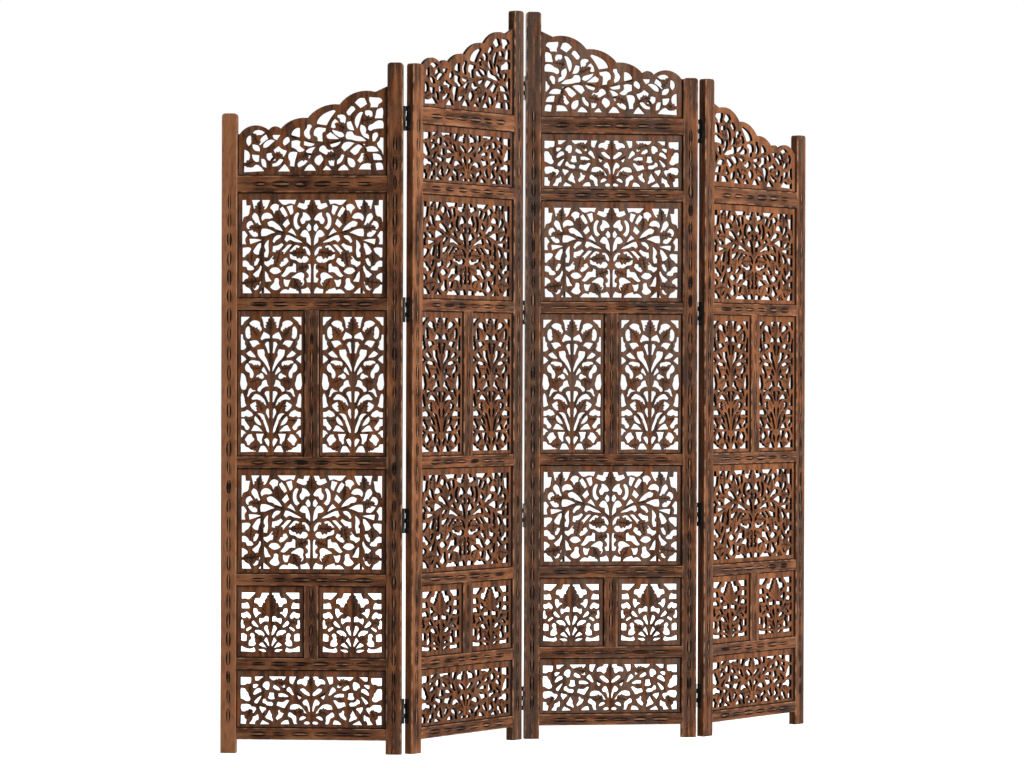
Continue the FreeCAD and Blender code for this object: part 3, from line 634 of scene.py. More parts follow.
def carved_leaf(name, outline, rib, rib_shade, notch_height, notch_shade, crown_out, crown_up):
    """One carved leaf on both faces, base at the origin and tip at y = 1: lobes with cut veins between them, painted
    shade darkening the veins, the notches and the sides where the leaf meets the board.
    """
    rim_height, rib_height, lobe_height = 0.0036, 0.0043, 0.0054
    # Painted shade on the leaf's points: a little on the tips between the notches, least on the crowns, most on the
    # sides where the leaf meets the board
    rim_shade, lobe_shade, side_shade = 0.1, 0.03, 0.6
    points, faces, painted_shades = [], [], []

    def add(x, y, z, cut):
        points.append((x, y, z))
        painted_shades.append(cut)
        return len(points) - 1

    for front in (1, -1):
        on_rib = {y: add(0, y, front * rib_height, rib_shade) for y in sorted(set(rib))}
        middle = [on_rib[y] for y in rib]
        for hand in (1, -1):
            edge, lobe_faces = [], []
            for i, (x, y) in enumerate(outline[:-1]):
                high, cut = (rim_height, rim_shade) if i % 2 else (notch_height, notch_shade)
                edge.append(add(hand * x, y, front * high, cut))
            edge.append(middle[-1])
            for lobe in range(len(outline) // 2):
                x, y = outline[2 * lobe + 1]
                up = rib[lobe] + (y - rib[lobe]) * crown_up
                crown = add(hand * x * crown_out, up, front * lobe_height, lobe_shade)
                ring = [middle[lobe], *edge[2 * lobe:2 * lobe + 3], middle[lobe + 1]]
                lobe_faces += [(a, b, crown) for a, b in zip(ring, ring[1:] + ring[:1]) if a != b]
            rim = [add(hand * x, y, 0, side_shade) for x, y in outline]
            lobe_faces += [(edge[i + 1], edge[i], rim[i], rim[i + 1]) for i in range(len(outline) - 1)]
            faces += lobe_faces if hand == front else [f[::-1] for f in lobe_faces]
    return stand(name, new_mesh(name, points, faces, mark=painted_shades))


leaf_outline = [(0.10, 0.0), (0.62, 0.08), (0.50, 0.20), (1.0, 0.38), (0.70, 0.48), (0.88, 0.63), (0.48, 0.70),
                (0.50, 0.85), (0.0, 1.05)]
# Painted shade along the rib and in the notches of the vine leaf
leaf_form = carved_leaf("carved_leaf", leaf_outline, rib=[0.0, 0.24, 0.5, 0.74, 1.05], rib_shade=0.5,
                        notch_height=0.0036, notch_shade=0.36, crown_out=0.42, crown_up=0.92)

# Leaves set along the board: one point each at the base, with its reach to the tip and its breadth
carved_leaves, given, end = new_tree("carved_leaves", "GeometryNodeTree",
                                     dict(Bases="Geometry", Leaf="Object", Stain="Material"), dict(Leaves="Geometry"))
t = carved_leaves
to_tip = out(wire(t, "GeometryNodeInputNamedAttribute", "to_tip", data_type="FLOAT_VECTOR"))
length = out(wire(t, "ShaderNodeVectorMath", to_tip, operation="LENGTH"), "Value")
size = out(wire(t, "ShaderNodeCombineXYZ", number_of(t, "leaf_breadth"), length, 1.0))
turn = out(wire(t, "FunctionNodeAlignRotationToVector", None, 1.0, to_tip, axis="Y", pivot_axis="Z"))
one_leaf = out(wire(t, "GeometryNodeObjectInfo", given["Leaf"], transform_space="ORIGINAL"), "Geometry")
bases = out(wire(t, "GeometryNodeMeshToPoints", given["Bases"]))
grown = out(wire(t, "GeometryNodeInstanceOnPoints", bases, True, one_leaf, None, None, turn, size))
close_tree(t, grown, given["Stain"], end)

# Stems swept along their lines: a section a little proud of both faces, with a cut down the middle of each; painted
# shade darkens the stem, most of all in the cut
stem_half, stem_shoulder, stem_bed, stem_proud, stem_cut = 0.0026, 0.6, 0.0002, 0.0004, 0.0007
# How much painted shade the stem's section takes: over the whole stem, and more at the bottom of its cut
stem_painted_shade, stem_cut_painted_shade, stem_steps = 0.3, 1.2, 20
stem_points = [(-stem_half, half_thick - stem_bed, stem_painted_shade),
               (-stem_half * stem_shoulder, half_thick + stem_proud, stem_painted_shade),
               (0, half_thick - stem_cut, stem_cut_painted_shade),
               (stem_half * stem_shoulder, half_thick + stem_proud, stem_painted_shade),
               (stem_half, half_thick - stem_bed, stem_painted_shade)]
stem_points += [(-x, -y, cut) for x, y, cut in stem_points]
stem_ring = len(stem_points)
section_mesh = bpy.data.meshes.new("stem_section")
section_mesh.from_pydata([(x, y, 0) for x, y, cut in stem_points],
                         [(i, (i + 1) % stem_ring) for i in range(stem_ring)], [])
hold(section_mesh, mark=[cut for x, y, cut in stem_points])
stem_section = stand("stem_section", section_mesh)
carved_stems, given, end = new_tree("carved_stems", "GeometryNodeTree",
                                    dict(Lines="Geometry", Section="Object", Steps="Int", Stain="Material"),
                                    dict(Stems="Geometry"))
t = carved_stems
section = out(wire(t, "GeometryNodeObjectInfo", given["Section"], transform_space="ORIGINAL"), "Geometry")
section = out(wire(t, "GeometryNodeMeshToCurve", section))
lines = out(wire(t, "GeometryNodeResampleCurve", given["Lines"], True, given["Steps"]))
swept = wire(t, "GeometryNodeCurveToMesh", lines, section)
swept.inputs["Fill Caps"].default_value = True
close_tree(t, out(swept), given["Stain"], end)


def leaf_relief(rows, form=leaf_form, breadth_share=0.44):
    """Carved leaves standing on a board, each row a base and a tip."""
    reach = np.array([(tip[0] - base[0], tip[1] - base[1], 0) for base, tip in rows])
    bases = new_mesh("bases", [(u, v, 0) for (u, v), tip in rows], [], to_tip=reach,
                     leaf_breadth=np.linalg.norm(reach, axis=1) * breadth_share)
    return shaped(carved_leaves, bases, leaf=form, stain=carved_wood)


def stem_relief(rows):
    """Carved stems along smooth lines through each row's places."""
    lines = bpy.data.curves.new("stems", "CURVE")
    lines.dimensions, lines.resolution_u = "3D", 5
    for row in rows:
        line = lines.splines.new("BEZIER")
        line.bezier_points.add(len(row) - 1)
        for point, (u, v) in zip(line.bezier_points, row):
            point.co = (u, v, 0)
            point.handle_left_type = point.handle_right_type = "AUTO"
    return shaped(carved_stems, lines, section=stem_section, steps=stem_steps, stain=carved_wood)


# The painted shade strip in the board's corners: its reach in from the frame, how high it stands at the frame, how far
# it sinks below the face at the frame and at its thin edge, then how dark it is at the frame and at its thin edge
shade_width, shade_rise, shade_bed, shade_toe = 0.0036, 0.0010, 0.0003, 0.000075
corner_shade, thin_shade = 1.0, 0.1


def painted_corner_shade(corners, turned_in, closed):
    """Painted shade where a board meets its frame, on both faces: a dark strip from the frame to where it thins out."""
    points, faces, painted_shades = [], [], []
    sides = len(corners) if closed else len(corners) - 1
    for face in (1, -1):
        level, first, strips = face * half_thick, len(points), []
        for outer, inner in zip(corners, turned_in):
            points += [(*outer, level - face * shade_bed), (*outer, level + face * shade_rise),
                       (*inner, level - face * shade_toe)]
            painted_shades += [corner_shade, corner_shade, thin_shade]
        for i in range(sides):
            here, there = first + 3 * i, first + 3 * ((i + 1) % len(corners))
            strips += [(here + a, there + a, there + b, here + b) for a, b in ((0, 1), (1, 2), (2, 0))]
        if not closed:
            last = first + 3 * sides
            strips += [(first, first + 1, first + 2), (last + 2, last + 1, last)]
        faces += [strip if face > 0 else strip[::-1] for strip in strips]
    return new_mesh("painted_corner_shade", points, faces, mark=painted_shades)


board_grain_step = np.array([0.71, 0.0, 1.9])


def carved_board(name, board, leaves, stems, extras, seed):
    """A board with its relief and other extras, upright about its foot, grain running up it."""
    upright = Matrix.Rotation(math.radians(90), 4, "X")
    forms = [board, leaf_relief(leaves), stem_relief(stems), *extras]
    mesh = joined(name, [(form, upright) for form in forms])
    hold(mesh, grain=points_of(mesh) + seed * board_grain_step)
    return mesh


def straight_outline(half_width, height, grow):
    """The corners of a straight board, grown past its opening or drawn in from it."""
    x, low, high = half_width + grow, -grow, height + grow
    return [(-x, low), (x, low), (x, high), (-x, high)]


def square_board(name, half_width, height, openings, leaves, stems, seed, cut, head=()):
    """A straight board from its tables, with painted shade in its four corners with the frame."""
    openings, leaves, stems = (both_halves(read_rows(text, half_width, height)) for text in (openings, leaves, stems))
    board = pierced_board(straight_outline(half_width, height, fret_tuck), openings, **cut)
    # Painted shade along the corners where the board meets its frame
    shade_strip = painted_corner_shade(straight_outline(half_width, height, 0),
                          straight_outline(half_width, height, -shade_width), True)
    return carved_board(name, board, leaves, stems, [shade_strip, *head], seed)


carved_wood = stained_wood(
    "carved_wood", pale=(0.250, 0.086, 0.032), mid=(0.136, 0.046, 0.017), deep=(0.050, 0.017, 0.008),
    amber=(0.330, 0.124, 0.046), smoke=(0.155, 0.113, 0.088))
board_tones = {1: -0.1, 2: -0.05, 3: -0.5, 4: 0.35}
board_smooth_angle = 40
half_opening, leaf_middle = opening_width / 2, leaf_width / 2


def hang(leaf, part, mesh, middles, foot):
    """Houses copies of a board in a leaf, each about a middle line and on a foot."""
    copies = [(mesh, leaf_place(leaf, x, 0, foot)) for x in middles]
    fit(leaf, f"leaf_{leaf}_{part}", "carved", copies, "carved_wood", board_tones[leaf], board_smooth_angle)


tree_board = square_board("tree_board", half_opening, tree_height, tree_openings, tree_leaves, tree_stems, 1,
                          wide_cut)
for leaf in leaf_numbers:
    for part, foot in tree_feet.items():
        hang(leaf, part, tree_board, [leaf_middle], foot)

# Tall boards.
# A pair of slender boards of the same hardwood, side by side in the middle of each leaf and in the same grooves.
# A climbing vine is sawn and carved in each. The openings are given for the right half of one board.
tall_height, tall_foot = 0.320, 0.647
half_bay = (opening_width - mullion_width) / 4
bay_middles = (post_width + half_bay, leaf_width - post_width - half_bay)
tall_openings = """
5 95, 28 95, 24 92.5, 22 90, 20.5 88, 16 88, 12 91, 7 92.5
28.5 87, 33.5 89.5, 34 91.2, 42 92.4, 55 92.4, 63.5 91, 60 89.8, 52 88.7, 47 87.2, 41 86.2, 37 85.6, 30 86
62.5 87, 65.5 88.3, 69 88.7, 74.5 87, 75.5 83.5, 72 81, 68 80.5, 62 81.2, 61.5 82.5, 65 83.2, 60 84.2, 63 85.5
65 95, 88.5 95, 88.5 89.6, 83.5 90.3, 79 92.2, 71.5 93.5
4 82, 11 83.5, 22 84.8, 25.5 83.3, 28 82, 31 80.4, 27 79.4, 22 80.4, 13 80.8, 4 81
7 77.8, 12.5 78, 18 76.5, 15 75, 11.5 73, 8.5 70.6, 5 71, 6.5 74.4
35 76.8, 40.5 78.6, 50 79, 63.5 78.4, 60 77, 55.5 75.2, 52.5 74.5, 46 75.6, 40 76.6
4 58.5, 7 62, 13.5 66.3, 20 69, 19.5 71, 23 73, 31 72.8, 40 72.5, 38.5 69.5, 30 66.5, 22 64, 15 61.5, 8 59, 6 58
45 67.8, 51.5 69.6, 61.5 72, 67 71.3, 72.5 70.3, 66 68.8, 56 68
84.5 83, 89 83, 89 73, 80 73.2, 74 74.8, 78.5 77, 78 78.5, 82.5 79.8
88 69, 88 63.8, 82 64.8, 74.5 66.3, 81 68
31.5 63, 33.5 64.4, 42 65, 53 65.4, 64.5 64.7, 65.5 64, 57 63.6, 52.5 62.7, 46 62.5, 39.5 61.9, 33.5 62.2
76.5 60, 74 62.5, 69.5 63.4, 66 62.5, 60.5 60, 56 58.8, 52.5 57, 53 54.8, 56.5 53.6, 61 54, 62.5 56.3, 65 57.5,
71 58
12 56, 14 57.6, 18 59.4, 22 61, 27 59, 26 58.2, 20.5 57.4, 15.5 56.3
21.5 54, 25 56.2, 30.5 56.6, 34.5 55.8, 41 55.2, 46.5 53.4, 40 53.8, 33 53.6, 26.5 53
76 54.4, 82.5 56.3, 88 56.6, 88 46.5, 82 45.7, 76 46, 73 47.5, 71 49.4, 74 51.9
8.5 48, 12 50, 13.5 51.9, 18.5 52, 26.5 50.5, 28 48.8, 35.5 47.3, 39.5 46, 39 44.6, 32 44.5, 28 46.2, 22 47.2,
14 48.1
47.5 44.8, 53.5 45.2, 61 46.6, 66 45, 67.5 43.2, 70.5 41.2, 67 41.2, 62.5 42.9, 57 44.2
6 44.4, 16.5 44, 18.3 42.8, 14 41, 10.5 39, 7.5 37.4, 5 37.4
14.5 35, 17 37.5, 25 40, 34.5 41.7, 45.5 42.4, 53.5 41.6, 57.5 40.2, 56 39, 50 39, 42 39.2, 33 38.2, 26 36.8,
20 35.2
43 36.2, 46 37.2, 53 36.4, 61 35.2, 58.5 33.5, 53 32.2, 47 31.1, 42 31.4, 42.5 33, 43.5 34.7
84.5 42.9, 87.5 42.5, 88 33.6, 81 33.8, 73.5 34.8, 77.5 37, 79 39.4, 82 41.8
7 32, 10.5 32.8, 14.5 31, 13.5 29.4, 9.5 27.5, 6.5 26, 5.5 27, 6.5 29
6 16.6, 7.5 19, 11.5 22, 17 25.3, 22.5 28.4, 29 29.2, 39 29.2, 36 27.3, 30 25.6, 23.5 25.2, 21.5 23.3, 15.5 20,
10 16.9
28 21.3, 32 23.2, 38.5 25.5, 46.5 27.4, 49 25.8, 46 23.8, 40 22.3
53.5 28.2, 58 30, 63.5 30.8, 71 31.6, 76.5 30.7, 87.5 30.2, 87.5 27.2, 79 27.2, 74.5 28, 68 27.3, 60 27.4
87 25.4, 87 21.6, 79 20.8, 74.5 18.6, 68 18.3, 63.5 19.8, 68 21.4, 73.5 23.1, 75.5 24.6, 81 25.6
26.5 17.4, 33 19, 41 20.7, 49 21.3, 53.5 19.4, 57.5 17.8, 42 17.6
88 18, 88 13.2, 84 14, 80 15.6, 75 16, 80 17.2
22 15.3, 43.5 15.3, 41 13.4, 39 11.3, 33.5 10, 31 8.7, 26.5 9.3, 27.5 11.9, 24.5 14
49.5 11.9, 54.5 13.2, 57.5 15, 66 14.7, 73 12.8, 76 11.6, 72 10, 68.5 7.8, 63.5 8.3, 59.5 9.7, 51.5 11
7 11.3, 12 12.4, 19 11.6, 16 10, 11 8.2, 7 7, 5.5 8.8
9 3.4, 14 5.4, 19.5 7, 29.5 7, 33 5.3, 36 3.3
45.5 3.6, 50 5, 60 5.3, 68.5 6, 75 6.6, 79.5 8.2, 88.5 8.5, 88.5 3.2
"""
tall_leaves = """
0 85.5, 0 95
38 82, 60 88.5
30 60, 57 60.5
33 53, 60 50.5
24 31, 40 38.5
50 25, 76 24.5
34 7, 62 5.5
"""
tall_stems = """
0 3, 0 30, 0 60, 0 86
0 13.5, 10 14.8, 20 18, 28 24, 38 27.8, 48 29
6 33, 14 38, 22 42, 34 43.5, 46 43.6, 60 40.5, 70 38
6 56.5, 18 61.5, 30 65.2, 40 67, 46 72, 56 74, 70 74
0 79, 12 79.2, 24 78, 32 79, 44 82, 56 84
"""
tall_board = square_board("tall_board", half_bay, tall_height, tall_openings, tall_leaves, tall_stems, 2, wide_cut)
for leaf in leaf_numbers:
    hang(leaf, "tall_frets", tall_board, bay_middles, tall_foot)

# Square boards.
# A pair of nearly square boards low in each leaf, one broad leaf at the head of each over a curling vine.
# They are sawn and carved from the same hardwood as the rest and held by the same grooves.
square_height, square_foot = 0.158, 0.208
square_openings = """
4.5 89.5, 26 89.5, 26.7 87, 29.7 84, 32.7 82.2, 42.4 82.2, 47 79.8, 47.6 75.6, 41 75, 35 72.4, 34 70.6,
24.5 70.6, 23 74, 22 76, 16.2 76.4, 15.5 80, 11.7 83, 5 83.8
44.7 90, 85 90, 85 81.5, 75.3 82, 65 81, 59 82.6, 54.4 85, 48.4 87.6
63.4 73, 66.4 75.6, 70 76.6, 72.3 75.6, 79.8 75, 85 75.2, 85 68.2, 61.5 68.2
26.5 61.8, 30.2 63, 37.7 63.4, 39 67, 46.6 68.4, 50 68.2, 50.3 63, 47.4 58.8, 43 55.2, 39 58, 32.5 60.8
57.5 56.5, 60 59.4, 65 62.2, 70 63.8, 77 61.8, 86 61.2, 86 57, 82 55, 75 55, 70 56.8, 65 54.6, 60 54.4
5.5 57, 9 57.8, 14.5 57.3, 18.5 55.2, 23 54.2, 32 55, 33.2 53, 32.5 49.2, 29.5 46.7, 25 48.5, 20.5 50.2,
5.5 50.2
35.5 43, 39 45.4, 45 48.9, 50.3 51.5, 54.8 49, 55.4 47.2, 51.8 45, 45 43.6, 37.7 42.2
80 50.2, 83.5 53, 86 51.6, 86.5 41, 78 40.4, 75 43.6, 79 45.8, 80.5 48
55.5 41.6, 58.5 43, 64.5 41.6, 70.5 39.8, 72.3 38, 68.5 36.5, 64.5 38, 58 40
2.5 31, 4 35.2, 7 40, 8.5 44.2, 12.3 44.6, 18.5 41.5, 17.3 38.6, 14 35.5, 10.5 33.2, 6.5 29.8, 3 30
17.5 32.3, 21.5 35.2, 27.5 37.5, 35 38.3, 45.5 37.6, 45.5 35.6, 40 33.9, 37 32.7, 33 31.2, 29 32.3, 23.5 29.9,
18.5 30.2
47 30.5, 49.4 33, 54 34, 59 32.5, 60 30.5, 57.5 28.8, 57 26, 63 22.8, 64.5 17.4, 61 16.4, 48.5 16.8, 42.5 20,
46.5 22.8, 45.5 25.3, 47.5 27.7
71 31.8, 75.5 32.8, 80 33.6, 86 33.2, 86.5 23.8, 79 23, 70.5 23.4, 70.5 27
2.5 16, 4 19, 7.5 24, 11 28.4, 15.5 26, 18 23.8, 15.5 21, 10 18.6, 6.5 16
9.5 14.2, 14.5 17.2, 19.5 20.6, 24 21, 31 19.2, 34 17.5, 28 16.4, 24 15.4, 17.5 15, 13 13.8
12 8.6, 16 11, 28 11.8, 36 11.5, 30 9.8, 22 8.2
44 9.5, 46 12.5, 49 14.5, 54 12.8, 64 12.4, 73 13.5, 80 15, 86 16.5, 87 8.8, 66 8.4, 48 8.2
"""
square_leaves = """
56 50, 78 49
18 25, 42 29
"""
square_stems = """
0 8, 0 30, 0 60
0 28, 12 31.5, 20 37.5, 32 40.5, 46 40.5, 54 44, 60 48, 64 51
0 13.5, 8 15, 16 20, 24 23, 36 21, 42 17.5
"""
# The broad leaf at the head, its veins fanning from the stem
broad_outline = [(0.06, 0.0), (1.0, 0.24), (0.60, 0.38), (0.72, 0.47), (0.42, 0.56), (0.50, 0.66), (0.24, 0.74),
                 (0.30, 0.84), (0.10, 0.90), (0.10, 0.97), (0.0, 1.04)]
broad_base, broad_tip, broad_share = 0.555, 0.915, 0.47
# Painted shade along the broad leaf's rib, darker in its notches
broad_form = carved_leaf("broad_leaf", broad_outline, rib=[0.05] * 5 + [1.04], rib_shade=0.34,
                         notch_height=0.0042, notch_shade=0.44, crown_out=0.5, crown_up=0.5)
broad_row = [((0, square_height * broad_base), (0, square_height * broad_tip))]
broad_leaf = leaf_relief(broad_row, broad_form, broad_share)
bpy.data.objects.remove(broad_form)
paired_board = square_board("square_board", half_bay, square_height, square_openings, square_leaves, square_stems, 3,
                            close_cut, [broad_leaf])
for leaf in leaf_numbers:
    hang(leaf, "square_frets", paired_board, bay_middles, square_foot)

# Wide boards.
# A low board across the foot of every leaf and one under the crest rail of the two middle leaves, in grooves.
# The same scrolling vine is sawn and carved in all six, from the same hardwood.
wide_height, bottom_wide_foot, top_wide_foot = 0.128, 0.055, 1.248
wide_openings = """
2 86.3, 4.6 88, 9.1 87.6, 10.2 84.4, 15.2 83.1, 18.8 78.5, 18.3 74.6, 13.2 75.3, 11.2 74, 8.1 71.1, 6.6 73.3,
4.6 76.6, 4.6 80.5, 2.2 83.7
20.1 87.6, 29 87.6, 28.5 76.6, 27.4 74.6, 24.9 74, 23.4 77.9, 21.8 83.1
34 87.6, 56.4 87.6, 54.9 84.4, 50.8 81.1, 47.3 82, 44.2 80.7, 40.7 82, 37.6 81.5, 35.1 84.4
64 87.4, 75.4 87.4, 75 80.5, 71.1 80.7, 68.1 83.7
80.3 86, 94.3 86.5, 94.3 73.3, 88.4 73.3, 86.4 75.3, 81.8 75.5, 80.3 79.2
34.6 69.4, 35.6 73.3, 39.1 76.6, 42.7 77.6, 44.7 76.6, 43.2 73.3, 40.1 71.1, 37.1 69
41.2 64.8, 42.7 68.1, 46.7 72, 49.8 73.3, 51.3 68.8, 47.8 65.5, 44.2 64.2
55.7 75.9, 56.9 78.5, 60 78.8, 63.5 75.9, 65 72, 64.5 69.4, 62 68.1, 60.8 64.8, 56.9 65.5, 55.9 70.1
70.3 73.3, 73.2 74.6, 78 73.3, 77.7 68.1, 75.7 67.7, 72.7 70.1
66.6 62.2, 67.1 65.9, 69.6 67.7, 73.2 66.1, 76.7 60.9, 77.7 57, 75.7 56.4, 71.1 59.6
86.4 62.2, 88.4 66.8, 93.5 67.7, 94.3 66.1, 94.3 49.9, 90.4 47.9, 86.4 45.3, 82.3 46.6, 81.3 50.5, 83.3 54.4,
84.3 59.6
1.8 55.7, 2.5 59.6, 6.1 63.5, 10.2 67.7, 14.2 66.8, 14.7 64.8, 11.2 60.3, 7.1 57, 3 55.1
12 54.7, 14 57.7, 18.5 59.9, 18.4 55.1, 16.5 49.2, 15 49.9
22.9 56.4, 24.4 60.3, 26.6 66.8, 29.5 70.3, 33 65.5, 32.5 63.5, 29 60.3, 24.9 56
30 53.8, 32.5 56.4, 37.6 59, 43.7 58.6, 43.9 53.8, 40.7 52.9, 33.5 52.9
48.6 49.9, 49.6 54.4, 49.8 59.9, 55.9 60.3, 56.4 55.1, 57.9 51.8, 56.9 49.9, 52.8 48.6
66.3 54.4, 68.1 53.8, 72.2 49.9, 75.7 45.3, 76 42.7, 72.7 41.1, 70.6 44.7, 68.3 49.9
1.5 29, 2 36.2, 3.6 44, 6.1 49.2, 8.6 47.9, 11.7 43.4, 9.7 39.5, 6.1 38.2, 4.6 34.9, 3 27.7
6.1 25.1, 9.1 31, 13.2 36.8, 16.8 40.1, 25.4 39.8, 27.9 36.8, 28.5 32.3, 24.4 31, 20.3 32, 15.2 31, 11.2 27.1,
7.6 24.5
29.5 47.3, 32.5 47.9, 36.1 44.7, 39.6 43.8, 43.2 46, 45.2 42.7, 46.2 38.2, 42.7 36.8, 39.1 34.9, 35.6 33.9,
33.5 38.8, 31 43.4
50.8 41.4, 52.8 44, 58.4 44.7, 61.5 49.9, 64.5 47.9, 65 42.7, 61 40.8, 58.4 37.8, 51.8 37.8
60 32.3, 61.5 34.9, 65 35.5, 68.6 37.5, 69.1 33.6, 67.1 28.4, 65.5 24.7, 63 29
73.4 32.9, 75.2 35.5, 79.3 36.2, 82.3 39.8, 93 40.1, 94.3 34.9, 93 28.4, 89.4 27.7, 86.4 29.7, 83.3 29,
80.8 31.6, 79.3 27.7, 77.7 24.5, 75.2 28.4
6.6 18, 9.1 20.3, 12.2 19.9, 15.2 16.7, 15.8 13.4, 13.2 13.4, 9.7 15.4
18.8 6.9, 19.8 11.5, 19.8 18, 22.4 23.2, 25.4 25.1, 28.5 27.3, 31 23.2, 30.5 19.9, 25.9 16.7, 24.4 11.5,
22.9 6.9
36.6 25.1, 40.7 27.1, 42.2 31, 44.2 29, 43.7 24.5, 45.7 19.9, 47.3 16.7, 45.7 13.4, 41.7 16.7, 39.1 19.3,
37.6 23.2
50.6 11.5, 51.3 15.4, 52.8 19.9, 52.3 22.5, 53.9 25.8, 55.4 30.7, 57.4 27.1, 58.9 23.2, 61.5 18.6, 60 16,
55.9 14.1, 51.8 11.5
70.1 18.6, 71.1 23.8, 73.7 20.6, 77.7 18.6, 78.8 14.1, 80.8 10.2, 82.8 6.9, 75.2 6, 74.7 10.2, 72.7 13.4,
70.6 12.8
86.4 14.1, 88.9 16.7, 89.2 21.2, 94 21.9, 94.3 6.9, 87.4 6.3, 86.9 10.2
1.8 8.9, 4.1 11.5, 7.6 10.8, 9.7 8.9, 8.6 6.9, 4.1 6.5, 2 7.3
29 6.5, 30 11.5, 31 13.8, 35.1 13, 39.1 9.5, 40.7 6.3
55.4 6.3, 57.9 8.9, 62 11.5, 64.5 13.4, 66.6 9.5, 68.1 6
"""
wide_leaves = """
0 70, 0 88
36 75, 50 80
10 29, 24 24.5
80 31, 86 17
36 52, 43 45
"""
wide_stems = """
0 6, 0 30, 0 70
0 22, 8 23, 16 28.5, 28 29.8, 34 31, 48 34.5, 58 36, 70 39.5
0 52, 10 53.5, 20 61, 24 71, 31 76, 34 80
"""
wide_board = square_board("wide_board", half_opening, wide_height, wide_openings, wide_leaves, wide_stems, 4,
                          close_cut)
for leaf in leaf_numbers:
    hang(leaf, "bottom_fret", wide_board, [leaf_middle], bottom_wide_foot)
for leaf in inner_leaves:
    hang(leaf, "top_fret", wide_board, [leaf_middle], top_wide_foot)

